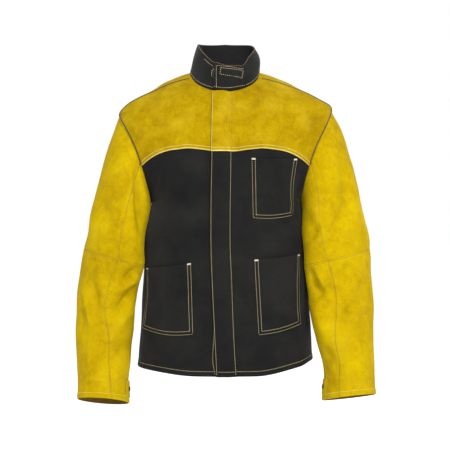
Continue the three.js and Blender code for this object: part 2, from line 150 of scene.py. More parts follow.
# ---- Numbers ----
def smoothstep(value, low, high):
    t = np.clip((np.asarray(value, float) - low) / (high - low), 0, 1)
    return t * t * (3 - 2 * t)


def mix(a, b, t):
    return a + (b - a) * t


def signed_power(value, exponent):
    return np.sign(value) * np.abs(value) ** exponent


def curve_through(stations):
    """A smooth curve through (position, value) stations, whose positions fall from first to last."""
    where = np.array([s[0] for s in stations], float)[::-1]
    values = np.array([s[1] for s in stations], float)[::-1]
    before = np.r_[0, np.arange(len(where) - 1)]
    after = np.r_[np.arange(1, len(where)), len(where) - 1]
    slopes = (values[after] - values[before]) / (where[after] - where[before])

    def read(position):
        p = np.clip(np.asarray(position, float), where[0], where[-1])
        i = np.clip(np.searchsorted(where, p, side="right") - 1, 0, len(where) - 2)
        span = where[i + 1] - where[i]
        t = (p - where[i]) / span
        rise = (1 + 2 * t) * (1 - t) ** 2 * values[i] + t * t * (3 - 2 * t) * values[i + 1]
        lean = t * (1 - t) ** 2 * slopes[i] + t * t * (t - 1) * slopes[i + 1]
        return rise + lean * span

    return read


def waves(points, seed, longest, shortest, height, count=14):
    """A gentle seeded unevenness of the cloth: a sum of plane waves, in millimetres."""
    rng = np.random.default_rng(seed)
    total = np.zeros(points.shape[:-1])
    for _ in range(count):
        heading = rng.normal(size=3)
        heading /= np.linalg.norm(heading)
        length = shortest * (longest / shortest) ** rng.random()
        phase = rng.random() * 2 * math.pi
        total += np.sin(points @ heading * 2 * math.pi / length + phase) * (length / longest)
    return total * height / math.sqrt(count / 2)


# ---- The body's surface ----
half_width_station = curve_through(HALF_WIDTHS)
front_depth = curve_through(FRONT_DEPTHS)
back_depth = curve_through(BACK_DEPTHS)


def armhole_drop(level):
    return (SHOULDER_TIP[1] - level) / (SHOULDER_TIP[1] - ARMPIT[1])


def depth_at(level, is_front):
    return np.where(is_front, front_depth(level), back_depth(level))


def armhole_angle(level, is_front):
    drop = armhole_drop(np.asarray(level, float))
    inside = np.clip(1 - (2 * drop - 1) ** 2, 0, 1)
    share = ARMHOLE_DEPTH * np.sqrt(inside) / depth_at(level, is_front)
    return np.arccos(np.clip(share, 0, 1) ** (SQUARENESS / 2))


def half_width(level, is_front):
    drop = armhole_drop(np.asarray(level, float))
    plane_x = mix(SHOULDER_TIP[0], ARMPIT[0], drop)
    beside = plane_x / np.sin(armhole_angle(level, is_front)) ** (2 / SQUARENESS)
    return np.where((drop <= 0) | (drop >= 1), half_width_station(level), beside)


def shoulder_set(x, level):
    """A worn jacket's two shoulder tips do not sit at quite the same height."""
    near = np.exp(-(((np.abs(x) - SHOULDER_TIP[0]) / 28) ** 2) - ((level - SHOULDER_TIP[1]) / 36) ** 2)
    return near * np.where(x > 0, SHOULDER_SET[1], SHOULDER_SET[-1])


def fullness(side, level):
    """Under each arm the body's cloth stands out a little more than the plain shape."""
    pairs = zip(SIDE_FULLNESS[1], SIDE_FULLNESS[-1])
    centre, half_height, most = (np.where(side > 0, left, right) for left, right in pairs)
    return most * np.exp(-(((level - centre) / half_height) ** 2))


def body_surface(angle, level):
    """Points and outward normals at slice angles (0 front, 90 degrees the wearer's left) and levels."""
    angle, level = np.broadcast_arrays(np.asarray(angle, float), np.asarray(level, float))
    is_front = np.cos(angle) >= 0
    width = half_width(level, is_front)
    depth = depth_at(level, is_front)
    x = width * signed_power(np.sin(angle), 2 / SQUARENESS)
    y = -depth * signed_power(np.cos(angle), 2 / SQUARENESS)
    fuller = x + np.sign(x) * fullness(x, level) * np.abs(x / width) ** 6
    points = np.stack([fuller, y, level + shoulder_set(x, level)], axis=-1)
    step = 1.0
    width_slope = (half_width(level + step, is_front) - half_width(level - step, is_front)) / (2 * step)
    depth_slope = (depth_at(level + step, is_front) - depth_at(level - step, is_front)) / (2 * step)
    share_x = np.abs(x / width) ** SQUARENESS
    share_y = np.abs(y / depth) ** SQUARENESS
    normals = np.stack([
        signed_power(x / width, SQUARENESS - 1) / width,
        signed_power(y / depth, SQUARENESS - 1) / depth,
        -share_x * width_slope / width - share_y * depth_slope / depth,
    ], axis=-1)
    return points, normals / np.linalg.norm(normals, axis=-1, keepdims=True)


def angle_of_x(x, level):
    share = np.clip(x / half_width(level, True), -1, 1)
    return np.arcsin(signed_power(share, SQUARENESS / 2))


def front_surface(x, level):
    return body_surface(angle_of_x(x, level), level)


def yoke_dip(x):
    """How far the yoke's lower edge falls below its level: most of all towards the armholes."""
    reach = np.abs(x)
    rise = YOKE_RISE["height"] * np.exp(-(((reach - YOKE_RISE["at"]) / YOKE_RISE["width"]) ** 2))
    centre = YOKE_CENTRE_DIP * (1 - smoothstep(reach, 20, 60))
    beyond = np.clip((reach - YOKE_DIP["from"]) / (YOKE_DIP["to"] - YOKE_DIP["from"]), 0, 1.1)
    return centre + YOKE_DIP["depth"] * beyond ** YOKE_DIP["power"] - 1.0 - rise


def dipped(x, level):
    """The rows near the yoke seam fall with it."""
    above = smoothstep(level, YOKE_LEVEL - 1, SHOULDER_TIP[1])
    below = smoothstep(-level, -YOKE_LEVEL + 1, -ARMPIT[1] + 20)
    near = np.where(level > YOKE_LEVEL, above, below)
    return level - yoke_dip(x) * (1 - near)


# ---- Panels ----
class Panel:
    """A grid of surface points in millimetres, rows by columns, with outward normals."""

    def __init__(self, points, normals):
        self.points = points
        self.normals = normals

    def arc(self, axis):
        steps = np.linalg.norm(np.diff(self.points, axis=axis), axis=-1)
        lead = np.zeros_like(np.take(steps, [0], axis=axis))
        return np.concatenate([lead, np.cumsum(steps, axis=axis)], axis=axis)

    def edge_distance(self, edge):
        """Distance along the cloth from one edge: left and right are u 0 and 1, top and low v 0 and 1."""
        axis = 1 if edge in ("left", "right") else 0
        arc = self.arc(axis)
        return arc if edge in ("left", "top") else np.take(arc, [-1], axis=axis) - arc

    def push(self, height):
        """Moves the sheet out along its normals, by one height or by a height for each point."""
        height = np.broadcast_to(height, self.points.shape[:2])
        self.points = self.points + self.normals * height[..., None]

    def line(self, edge, distance, start=0.0, stop=0.0):
        """Points and normals of a line at a distance from an edge, cut short at its two ends."""
        gap = self.edge_distance(edge)
        points, normals = self.points, self.normals
        if edge in ("top", "low"):
            gap = gap.T
            points, normals = points.transpose(1, 0, 2), normals.transpose(1, 0, 2)
        if edge in ("right", "low"):
            gap, points, normals = gap[:, ::-1], points[:, ::-1], normals[:, ::-1]
        points = np.array([along(distance, *row) for row in zip(gap, points)])
        normals = np.array([along(distance, *row) for row in zip(gap, normals)])
        return trimmed(points, normals, start, stop)

    def flat_size(self):
        cells = self.points
        across = cells[:-1, 1:] - cells[:-1, :-1]
        down = cells[1:, :-1] - cells[:-1, :-1]
        area = np.linalg.norm(np.cross(across, down), axis=-1).sum() * MM * MM
        return self.arc(1)[:, -1].max() * MM, self.arc(0)[-1].max() * MM, area


def along(where, lengths, rows):
    """The rows read off at some lengths along their line."""
    return np.stack([np.interp(where, lengths, rows[:, k]) for k in range(3)], axis=-1)


def lengths_along(points):
    return np.r_[0, np.cumsum(np.linalg.norm(np.diff(points, axis=0), axis=1))]


def trimmed(points, normals, start=0.0, stop=0.0):
    """The line with its ends cut off, as points about 1.5 mm apart."""
    lengths = lengths_along(points)
    count = max(4, int((lengths[-1] - start - stop) / 1.5))
    where = np.linspace(start, lengths[-1] - stop, count)
    return along(where, lengths, points), along(where, lengths, normals)


def raised(line, height):
    """A line lifted off the cloth along its normals."""
    points, normals = line
    return points + normals * height, normals


def spaced(length, step, near=EDGE_ROWS):
    """Parameters from 0 to 1 over a length in millimetres, closer together at both ends."""
    near = np.array(near, float)
    count = max(2, int(round((length - 2 * near[-1]) / step)))
    middle = np.linspace(near[-1], length - near[-1], count + 1)
    return np.concatenate([near[:-1], middle, (length - near[:-1])[::-1]]) / length


# How each kind of edge rises and dips: (height, where its middle is, half width), in from the edge.
EDGE_SHAPES = {
    # sewn edge to edge: the cloth dives into the seam
    "seam": [(-1.2, 0, 1.3)],
    # turned under and topstitched: a soft roll, then the dent that the stitches pull
    "topstitched": [(-1.3, 0, 1.0), (0.75, 2.6, 1.9), (-0.55, 5.4, 1.1)],
    # folded back on itself and stitched close to the fold
    "folded": [(-1.2, 0, 0.9), (-0.45, 2.4, 0.8)],
    # a cut leather edge lapped over the next piece, with its topstitching
    "lapped": [(-0.5, LAP_INSET, 1.3), (-0.5, 0, 0.7)],
    # a hem turned up twice
    "hem": [(-0.9, 0, 1.0), (-0.7, HEM_INSET, 1.2)],
    # the turned mouth of a pocket, lying close
    "mouth": [(-0.8, 0, 1.0)],
}
# Where an edge is doubled, how much it stands out, and between which distances that ends.
DOUBLED = {"lapped": (1.5, 7, 14), "hem": (1.1, 13.5, 16)}


def shape_edges(panel, edges):
    """Presses each edge of a panel into the profile of how it is sewn."""
    height = np.zeros(panel.points.shape[:2])
    for edge, kind in edges.items():
        distance = panel.edge_distance(edge)
        for rise, middle, spread in EDGE_SHAPES[kind]:
            height += rise * np.exp(-(((distance - middle) / spread) ** 2))
        if kind in DOUBLED:
            rise, full, gone = DOUBLED[kind]
            height += rise * (1 - smoothstep(distance, full, gone))
    panel.push(height)


FRONT = (0, -1, 0)
BACK = (0, 1, 0)
UP = (0, -0.2, 1)


def fold_heights(panel, folds, side=1, depth=1.0):
    """Soft ridges and valleys. A fold is (x, z, x, z, width, height), listed by the way it faces."""
    flat = panel.points[..., [0, 2]]
    height = np.zeros(flat.shape[:-1])
    for towards, rows in folds.items():
        facing = smoothstep(panel.normals @ np.array(towards, float), -0.1, 0.5)
        for x1, z1, x2, z2, width, rise in rows:
            start = np.array([side * x1, z1], float)
            run = np.array([side * x2, z2], float) - start
            t = np.clip((flat - start) @ run / (run @ run), 0, 1)
            gap2 = ((flat - start - t[..., None] * run) ** 2).sum(-1)
            taper = 0.35 + 0.65 * np.sin(math.pi * t)
            height += depth * rise * np.exp(-gap2 / width**2) * taper * facing
    return height


# ---- Meshes ----
def make_object(name, vertices, faces, materials, face_materials=None, sharp=40):
    mesh = bpy.data.meshes.new(name)
    mesh.from_pydata((np.asarray(vertices) * MM).tolist(), [], faces)
    for material in materials:
        mesh.materials.append(material)
    if face_materials is not None:
        mesh.polygons.foreach_set("material_index", np.asarray(face_materials, np.int32))
    mesh.polygons.foreach_set("use_smooth", np.ones(len(mesh.polygons), bool))
    mesh.set_sharp_from_angle(angle=math.radians(sharp))
    mesh.update()
    piece = bpy.data.objects.new(name, mesh)
    bpy.context.collection.objects.link(piece)
    return piece


def shell(name, panel, thickness, materials, rims=None):
    """A closed sheet: the panel outside, a second face one thickness inside, and walls round the edge.
    materials is one for all of it, or three: its face, its inside and its cut edge, which also paints the
    rim bands.
    rims are the edges along which a band of the cut-edge material is painted on the face, with how wide: the
    cut edge's own paler colour and a painted highlight."""
    rows, columns = panel.points.shape[:2]
    outer = panel.points.reshape(-1, 3)
    inner = (panel.points - panel.normals * thickness).reshape(-1, 3)
    layer = rows * columns
    grid = np.arange(layer).reshape(rows, columns)
    quads = np.stack([grid[:-1, :-1], grid[1:, :-1], grid[1:, 1:], grid[:-1, 1:]], axis=-1).reshape(-1, 4)
    rim = np.concatenate([grid[0, :-1], grid[:-1, -1], grid[-1, :0:-1], grid[:0:-1, 0]])
    nxt = np.roll(rim, -1)
    walls = np.stack([rim, nxt, nxt + layer, rim + layer], axis=-1)
    faces = np.concatenate([quads, quads[:, ::-1] + layer, walls])
    vertices = np.concatenate([outer, inner])
    a, b, c = (vertices[quads[:, k]] for k in (0, 1, 2))
    facing = (np.cross(b - a, c - a) * panel.normals[:-1, :-1].reshape(-1, 3)).sum()
    if facing < 0:
        faces = faces[:, ::-1]
    kinds = np.zeros(len(faces), int)
    if len(materials) > 1:
        kinds[len(quads):2 * len(quads)] = 1
        kinds[2 * len(quads):] = 2
    for edge, width in (rims or {}).items():
        gap = np.broadcast_to(panel.edge_distance(edge), (rows, columns))
        middle = (gap[:-1, :-1] + gap[1:, :-1] + gap[1:, 1:] + gap[:-1, 1:]) / 4
        # Faces within that width of the edge get the pale cut-edge leather: a painted highlight beside the
        # cut edge's own paler colour.
        kinds[:len(quads)][middle.reshape(-1) < width] = 2
    return make_object(name, vertices, faces.tolist(), materials, kinds)


def stitch_mesh(lines, pitch, length, radius):
    """Short rounded stitches along lines of (points, normals)."""
    sides = 6
    stations = [(-0.5, 0.25), (-0.42, 0.8), (-0.2, 1.0), (0.2, 1.0), (0.42, 0.8), (0.5, 0.25)]
    turn = np.arange(sides) * 2 * math.pi / sides
    vertices, faces = [], []
    for points, normals in lines:
        arc = lengths_along(points)
        middles = np.arange(pitch / 2, arc[-1], pitch)
        centre, up = along(middles, arc, points), along(middles, arc, normals)
        ahead, behind = np.minimum(middles + 0.6, arc[-1]), np.maximum(middles - 0.6, 0)
        run = along(ahead, arc, points) - along(behind, arc, points)
        run /= np.maximum(np.linalg.norm(run, axis=1, keepdims=True), 1e-9)
        side = np.cross(run, up)
        side /= np.maximum(np.linalg.norm(side, axis=1, keepdims=True), 1e-9)
        up = np.cross(side, run)
        for c, r, s, u in zip(centre, run, side, up):
            base = len(vertices)
            for place, share in stations:
                arch = radius * (0.5 - 1.6 * place * place)
                middle = c + r * place * length + u * (arch - STITCH_SINK)
                for a in turn:
                    outward = s * math.cos(a) * 1.1 + u * math.sin(a) * 0.8
                    vertices.append(middle + outward * radius * share)
            for k in range(len(stations) - 1):
                for j in range(sides):
                    a, b = base + k * sides + j, base + k * sides + (j + 1) % sides
                    faces.append((a, b, b + sides, a + sides))
            faces.append(tuple(base + j for j in reversed(range(sides))))
            faces.append(tuple(base + (len(stations) - 1) * sides + j for j in range(sides)))
    return np.array(vertices), faces


# ---- Materials ----
def grey(level):
    return (level, level, level)


class Recipe:
    """A node tree in the making: add() makes a node and links or sets its inputs."""

    def __init__(self, name):
        self.material = bpy.data.materials.new(name)
        self.material.use_nodes = True
        self.tree = self.material.node_tree
        self.tree.nodes.clear()
        output = self.tree.nodes.new("ShaderNodeOutputMaterial")
        self.shader = self.tree.nodes.new("ShaderNodeBsdfPrincipled")
        self.tree.links.new(self.shader.outputs[0], output.inputs[0])
        self.place = self.tree.nodes.new("ShaderNodeTexCoord").outputs["Object"]

    def add(self, kind, inputs=None, **settings):
        node = self.tree.nodes.new(kind)
        for key, value in settings.items():
            setattr(node, key, value)
        for key, value in (inputs or {}).items():
            self.feed(node.inputs[key], value)
        return node

    def feed(self, socket, value):
        if isinstance(value, bpy.types.NodeSocket):
            self.tree.links.new(value, socket)
        else:
            socket.default_value = value

    def noise(self, scale, detail=3.0, roughness=0.55, stretch=None, distortion=0.0):
        place = self.place
        if stretch is not None:
            place = self.add("ShaderNodeMapping", {"Vector": place, "Scale": stretch}).outputs[0]
        inputs = {"Vector": place, "Scale": scale, "Detail": detail, "Roughness": roughness}
        inputs["Distortion"] = distortion
        return self.add("ShaderNodeTexNoise", inputs).outputs["Fac"]

    def ramp(self, value, stops):
        node = self.add("ShaderNodeValToRGB", {"Fac": value})
        elements = node.color_ramp.elements
        while len(elements) < len(stops):
            elements.new(0.5)
        for element, (position, colour) in zip(elements, stops):
            element.position = position
            element.color = (*colour, 1.0) if len(colour) == 3 else colour
        return node.outputs["Color"]

    def blend(self, factor, a, b, mode="MIX"):
        node = self.add("ShaderNodeMix", data_type="RGBA", blend_type=mode)
        for index, value in ((0, factor), (6, a), (7, b)):
            if isinstance(value, tuple) and len(value) == 3:
                value = (*value, 1.0)
            self.feed(node.inputs[index], value)
        return node.outputs[2]

    def math(self, operation, a, b=0.0):
        node = self.add("ShaderNodeMath", operation=operation)
        self.feed(node.inputs[0], a)
        self.feed(node.inputs[1], b)
        return node.outputs[0]

    def bump(self, height, strength, distance, onto=None):
        inputs = {"Height": height, "Strength": strength, "Distance": distance}
        if onto is not None:
            inputs["Normal"] = onto
        return self.add("ShaderNodeBump", inputs).outputs[0]

    def finish(self, colour, normal, roughness, **fixed):
        self.feed(self.shader.inputs["Base Color"], colour)
        self.feed(self.shader.inputs["Normal"], normal)
        self.feed(self.shader.inputs["Roughness"], roughness)
        for key, value in fixed.items():
            self.shader.inputs[key.replace("_", " ")].default_value = value
        return self.material


def suede(name, dark, middle, light, blotch, nap_strength=0.5):
    """Split leather: cloudy dye, paler rubbed patches, creases and a short nap."""
    r = Recipe(name)
    cloud = r.noise(9.0, 4.0, 0.6)
    mottle = r.noise(46.0, 6.0, 0.68, distortion=0.6)
    nap = r.noise(520.0, 4.0, 0.7)
    tone = r.math("ADD", r.math("MULTIPLY", cloud, 0.55), r.math("MULTIPLY", mottle, 0.45))
    colour = r.ramp(tone, [(0.33, dark), (0.5, middle), (0.66, light)])
    rubbed = r.ramp(r.noise(17.0, 5.0, 0.6, distortion=0.2), [(0.5, grey(0)), (0.72, grey(1))])
    pale = tuple(min(1.0, c * 1.2 + 0.02) for c in light)
    colour = r.blend(r.math("MULTIPLY", rubbed, blotch), colour, pale)
    fibre = r.ramp(nap, [(0.3, grey(0.72)), (0.7, grey(1.12))])
    colour = r.blend(0.75, colour, fibre, "MULTIPLY")
    cells = {"Vector": r.place, "Scale": 95.0}
    creases = r.add("ShaderNodeTexVoronoi", cells, feature="DISTANCE_TO_EDGE").outputs[0]
    crease_height = r.ramp(creases, [(0.0, grey(0)), (0.16, grey(1))])
    normal = r.bump(r.noise(30.0, 5.0, 0.6), 0.35, 0.004)
    normal = r.bump(crease_height, 0.12, 0.0008, normal)
    normal = r.bump(nap, nap_strength, 0.0011, normal)
    roughness = r.ramp(mottle, [(0.3, grey(0.82)), (0.7, grey(0.97))])
    return r.finish(colour, normal, roughness, Sheen_Weight=0.12, Sheen_Roughness=0.45,
                    Sheen_Tint=(1.0, 0.75, 0.05, 1.0), Specular_IOR_Level=0.04)


def twill(name, dark, light, dust=0.5):
    """Heavy cotton twill: a diagonal weave, slubs, and the dust that black cloth gathers."""
    r = Recipe(name)
    wave = {"Vector": r.place, "Scale": 300.0, "Distortion": 0.6, "Detail": 2.0, "Detail Scale": 2.0}
    weave = r.add("ShaderNodeTexWave", wave, wave_type="BANDS", bands_direction="DIAGONAL").outputs["Fac"]
    threads = r.noise(1500.0, 2.0, 0.6, stretch=(1.0, 1.0, 0.25))
    slubs = r.noise(240.0, 4.0, 0.7, stretch=(0.25, 0.25, 1.6))
    wash = r.noise(9.0, 5.0, 0.62, distortion=0.4)
    colour = r.ramp(wash, [(0.35, dark), (0.65, light)])
    colour = r.blend(0.5, colour, r.ramp(weave, [(0.1, grey(0.6)), (0.9, grey(1.25))]), "MULTIPLY")
    colour = r.blend(0.45, colour, r.ramp(slubs, [(0.3, grey(0.7)), (0.72, grey(1.4))]), "MULTIPLY")
    specks = r.ramp(r.noise(330.0, 2.0, 0.5), [(0.7, grey(0)), (0.79, grey(1))])
    colour = r.blend(r.math("MULTIPLY", specks, dust * 0.25), colour, (0.16, 0.155, 0.15))
    normal = r.bump(r.noise(34.0, 5.0, 0.6), 0.25, 0.003)
    normal = r.bump(weave, 0.35, 0.0004, normal)
    normal = r.bump(threads, 0.25, 0.0003, normal)
    roughness = r.ramp(wash, [(0.3, grey(0.8)), (0.7, grey(0.95))])
    return r.finish(colour, normal, roughness, Sheen_Weight=0.08, Sheen_Roughness=0.5,
                    Sheen_Tint=(0.8, 0.8, 0.8, 1.0), Specular_IOR_Level=0.15)


def thread(name, dark, light):
    """Sewing thread, its two tones drifting along the seam."""
    r = Recipe(name)
    ply = r.noise(1900.0, 2.0, 0.6)
    tone = r.noise(90.0, 3.0, 0.6)
    colour = r.ramp(tone, [(0.3, dark), (0.7, light)])
    colour = r.blend(0.5, colour, r.ramp(ply, [(0.3, grey(0.65)), (0.7, grey(1.15))]), "MULTIPLY")
    normal = r.bump(ply, 0.5, 0.0003)
    roughness = r.ramp(ply, [(0.0, grey(0.5)), (1.0, grey(0.8))])
    return r.finish(colour, normal, roughness, Sheen_Weight=0.2)


def lacquered_metal(name):
    """Black lacquer on a press stud, worn through in specks."""
    r = Recipe(name)
    wear = r.ramp(r.noise(420.0, 6.0, 0.75), [(0.56, grey(0)), (0.72, grey(1))])
    colour = r.blend(r.math("MULTIPLY", wear, 0.6), (0.02, 0.02, 0.022), (0.2, 0.19, 0.17))
    rough = r.ramp(r.noise(200.0, 3.0), [(0.3, grey(0.24)), (0.7, grey(0.42))])
    return r.finish(colour, r.bump(r.noise(700.0, 2.0), 0.08, 0.0003), rough, Metallic=0.85)


def hook_pile(name):
    """The black pile of hook-and-loop tape."""
    r = Recipe(name)
    loops = r.add("ShaderNodeTexVoronoi", {"Vector": r.place, "Scale": 700.0}).outputs["Distance"]
    colour = r.ramp(loops, [(0.0, (0.008, 0.008, 0.009)), (0.5, grey(0.002))])
    rough = r.ramp(loops, [(0.0, grey(0.7)), (1.0, grey(1))])
    return r.finish(colour, r.bump(loops, 0.9, 0.0012), rough)


def pale_floor(name):
    r = Recipe(name)
    tone = r.noise(3.0, 4.0)
    colour = r.ramp(tone, [(0.3, grey(0.93)), (0.7, grey(0.96))])
    rough = r.ramp(tone, [(0, grey(0.8)), (1, grey(0.9))])
    normal = r.bump(r.noise(60.0), 0.02, 0.001)
    return r.finish(colour, normal, rough, Emission_Color=(1, 1, 1, 1), Emission_Strength=0.1)


YOKE_HIDE = suede("yoke_hide", (0.194, 0.114, 0), (0.285, 0.183, 0), (0.363, 0.255, 0.00328), 0.2)
SLEEVE_HIDE = suede("sleeve_hide", (0.254, 0.159, 0), (0.36, 0.24, 0), (0.43, 0.31, 0), 0.12)
HIDE_INSIDE = suede(
    "hide_inside", (0.0984, 0.0605, 0.00787), (0.151, 0.0941, 0.0131), (0.216, 0.148, 0.0328), 0.3)
# Pale leather for cut edges, also laid on the face along some edges as a painted highlight.
HIDE_EDGE_AND_HIGHLIGHT = suede("hide_edge", (0.35, 0.26, 0.05), (0.45, 0.36, 0.09), (0.54, 0.47, 0.18), 0.6, 0.9)
BLACK_TWILL = twill("black_twill", (0.0007, 0.0007, 0.0012), (0.0078, 0.0078, 0.0066))
TWILL_INSIDE = twill("twill_inside", (0.00708, 0.00708, 0.00789), (0.0118, 0.0118, 0.0127), 0.2)
LABEL = twill("label_cloth", (0.5, 0.48, 0.42), (0.62, 0.6, 0.54), 0.0)
CREAM_THREAD = thread("cream_thread", (0.324, 0.268, 0.0917), (0.48, 0.409, 0.183))
PALE_THREAD = thread("bartack_thread", (0.423, 0.395, 0.296), (0.578, 0.55, 0.451))
# Near-black thread for the shoulder and armhole seams, standing also for the shade in those seams' creases.
DARK_THREAD_AND_SEAM_SHADE = thread("dark_thread_and_seam_shade", (0.02, 0.013, 0.002), (0.045, 0.03, 0.004))
# Dark brown thread for the sleeve seams, standing also for the shade in their creases.
SEAM_THREAD_AND_SHADE = thread("seam_thread_and_shade", (0.05, 0.032, 0), (0.09, 0.06, 0))
GOLD_THREAD = thread("gold_thread", (0.437, 0.331, 0.0423), (0.578, 0.465, 0.113))
HIDE_THREAD = thread("hide_thread", (0.229, 0.141, 0), (0.377, 0.256, 0.00656))
RUST_THREAD = thread("rust_thread", (0.212, 0.0917, 0.0212), (0.296, 0.141, 0.0353))
STUD_METAL = lacquered_metal("stud_lacquer")
HOOK_PILE = hook_pile("hook_pile")
# Each list is a sheet's face, its inside and its cut edge; the leather's pale cut-edge material is also
# painted on the face as a highlight band along some edges.
YOKE_LAYERS = [YOKE_HIDE, HIDE_INSIDE, HIDE_EDGE_AND_HIGHLIGHT]
SLEEVE_LAYERS = [SLEEVE_HIDE, HIDE_INSIDE, HIDE_EDGE_AND_HIGHLIGHT]
COTTON_LAYERS = [BLACK_TWILL, TWILL_INSIDE, BLACK_TWILL]


# ---- How pieces hang on the frame ----
def place_on(piece, how, nodes=()):
    """how is ("ride", body) or ("blend", body, body, start, end), its points in millimetres. For a blend the
    bodies and points are not used: the piece's transform is only baked in.
    """
    if how[0] == "ride":
        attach(piece, how[1])
    else:
        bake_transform(piece)
    if nodes:
        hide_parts(*nodes)
    return piece


ROOT = ("ride", "root")


def cloth(name, panel, thickness, materials, how, nodes, rims=None):
    """A sheet of leather or cotton that stands for CAD nodes; its flat size is measured from the panel but
    not used.
    """
    width, length, area = panel.flat_size()
    piece = place_on(shell(name, panel, thickness, materials, rims), how, nodes)


def sew(name, lines, material, how, **stitch):
    """A seam's stitches as one piece of thread. stitch holds what differs from the usual stitch."""
    vertices, faces = stitch_mesh(lines, **{**STITCH, **stitch})
    return place_on(make_object(name, vertices, faces, [material], sharp=80), how)


# ---- Yokes and body panels ----
flap_seam_x = curve_through(FLAP_SEAM)
flap_free_x = curve_through(FLAP_FREE)
seam_forward = curve_through(SEAM_FORWARD)


def shoulder_seam_angle(level):
    share = np.clip(seam_forward(level) / front_depth(level), 0, 0.97)
    return np.arccos(share ** (SQUARENESS / 2))


def neckline_x(level):
    return NECK_HALF_WIDTH * np.sqrt(np.clip(1 - (level / NECK_FRONT_DROP) ** 2, 0, 1))


def inner_edge(side, level):
    under_flap = np.maximum(flap_seam_x(level) - FLAP_HOLD, UNDERLAP + 1.5)
    opening = under_flap if side > 0 else np.full_like(level, -UNDERLAP)
    neckline = np.where(level > -NECK_FRONT_DROP, neckline_x(level), -1e3)
    return np.maximum(neckline, opening)


def armhole_edge_angle(level, is_front):
    """Where a panel ends at the armhole. The front edge is scooped towards the chest."""
    drop = np.clip(armhole_drop(level), 0, 1)
    scoop = ARMHOLE_SCOOP * np.sin(math.pi * drop) ** 1.3 * np.where(is_front, 1.0, 0.5)
    plane_x = mix(SHOULDER_TIP[0], ARMPIT[0], armhole_drop(level)) - scoop
    share = np.clip(plane_x / half_width(level, is_front), 0, 1)
    return np.arcsin(share ** (SQUARENESS / 2))


def front_outer_angle(level):
    beside = np.where(level < SHOULDER_TIP[1], armhole_edge_angle(level, True), shoulder_seam_angle(level))
    return np.where(level < ARMPIT[1], SIDE_SEAM, beside)


def back_outer_angle(level):
    armhole = math.pi - armhole_edge_angle(level, False)
    beside = np.where(level < SHOULDER_TIP[1], armhole, shoulder_seam_angle(level))
    return np.where(level < ARMPIT[1], SIDE_SEAM, beside)


# How the hem rides up towards the sides, more on the wearer's left: side, rise, and from where to where.
HEM_LIFTS = [(1, 20.0, 70, 215), (1, 7.0, 180, 216), (-1, 10.0, 70, 215)]


def hem_lift(x):
    return sum(rise * smoothstep(side * x, start, end) for side, rise, start, end in HEM_LIFTS)


def front_panel_grid(side, levels, columns, to_hem=False):
    row = np.asarray(levels, float)[:, None]
    u = np.asarray(columns, float)[None, :]
    angle = mix(angle_of_x(inner_edge(side, row), row), front_outer_angle(row), u)
    x = half_width(row, True) * signed_power(np.sin(angle), 2 / SQUARENESS)
    level = dipped(x, np.broadcast_to(row, x.shape))
    if to_hem:
        level = level + hem_lift(side * x) * smoothstep(-level, HEM_LIFT_FROM, -HEM_LEVEL)
    angle = mix(angle_of_x(inner_edge(side, level), level), front_outer_angle(level), u)
    return Panel(*body_surface(side * angle, level))


def levels_between(top, low, step, corners=()):
    """Levels from top down to low, close together at both ends and at the corners between."""
    near = np.array(EDGE_ROWS)
    plain = np.linspace(top - 12, low + 12, max(2, int((top - low - 24) / step)))
    levels = [*(top - near), *plain, *(low + near)]
    for corner in corners:
        levels += [corner + 0.4, corner - 0.4, corner + 2, corner - 2, corner + 5, corner - 5]
    return np.array(sorted(set(np.round(levels, 3)), reverse=True))


def tuck_under(panel, depth):
    """The top of the cotton dips under the leather that laps over it."""
    panel.push(-depth * (1 - smoothstep(panel.edge_distance("top"), 6, 16)))


def wrinkle(panel, folds, seed, height):
    """Folds, and an unevenness that is calmer where the seams hold the cloth."""
    panel.push(fold_heights(panel, folds))
    calm = np.ones(panel.points.shape[:2])
    for edge in ("left", "right", "top", "low"):
        calm = np.minimum(calm, 0.25 + 0.75 * smoothstep(panel.edge_distance(edge), 0, 45))
    panel.push(waves(panel.points, seed, 190, 55, height) * calm)


BODY_FOLDS = {
    FRONT: [
        (-151, -222, -176, -300, 9, -4.5), (-170, -330, -90, -440, 17, 3.6),
        (-120, -235, -135, -330, 14, 2.6),
        (-70, -260, -95, -420, 22, 2.4), (-60, -330, -52, -470, 14, -2.6),
        (-150, -655, -60, -700, 16, 3.0),
        (-120, -690, -50, -660, 12, -2.4), (-45, -480, -55, -640, 12, -2.2),
        (60, -385, 160, -420, 13, -3.4),
        (60, -412, 165, -445, 14, 2.6), (40, -360, 45, -560, 12, -2.0), (185, -235, 172, -330, 9, -3.6),
        (90, -660, 175, -690, 14, 2.6), (60, -690, 150, -715, 12, -2.0),
        (195, -520, 190, -640, 11, -3.0),
        (-200, -430, -165, -455, 12, -3.0),
    ],
    BACK: [
        (-160, -330, -60, -470, 24, 4.0), (160, -330, 60, -470, 24, 4.0),
        (-40, -420, 30, -560, 26, 3.0),
        (-120, -560, -40, -690, 24, 3.4), (120, -540, 60, -690, 24, 3.0), (0, -240, 10, -400, 30, 2.6),
    ],
}
YOKE_FOLDS = {
    FRONT: [
        (-205, -130, -170, -200, 13, 2.6), (205, -130, 172, -200, 13, 2.6),
        (-120, -70, -60, -130, 18, 1.6),
        (110, -70, 60, -130, 18, 1.6), (-185, -120, -150, -190, 10, -1.6),
        (185, -120, 150, -190, 10, -1.6),
        (40, -95, 95, -70, 12, -2.6),
    ],
    UP: [
        (-150, -50, -235, -85, 34, -6.0),
    ],
    BACK: [
        (-170, -90, -60, -150, 26, 2.4), (170, -90, 60, -150, 26, 2.4),
    ],
}


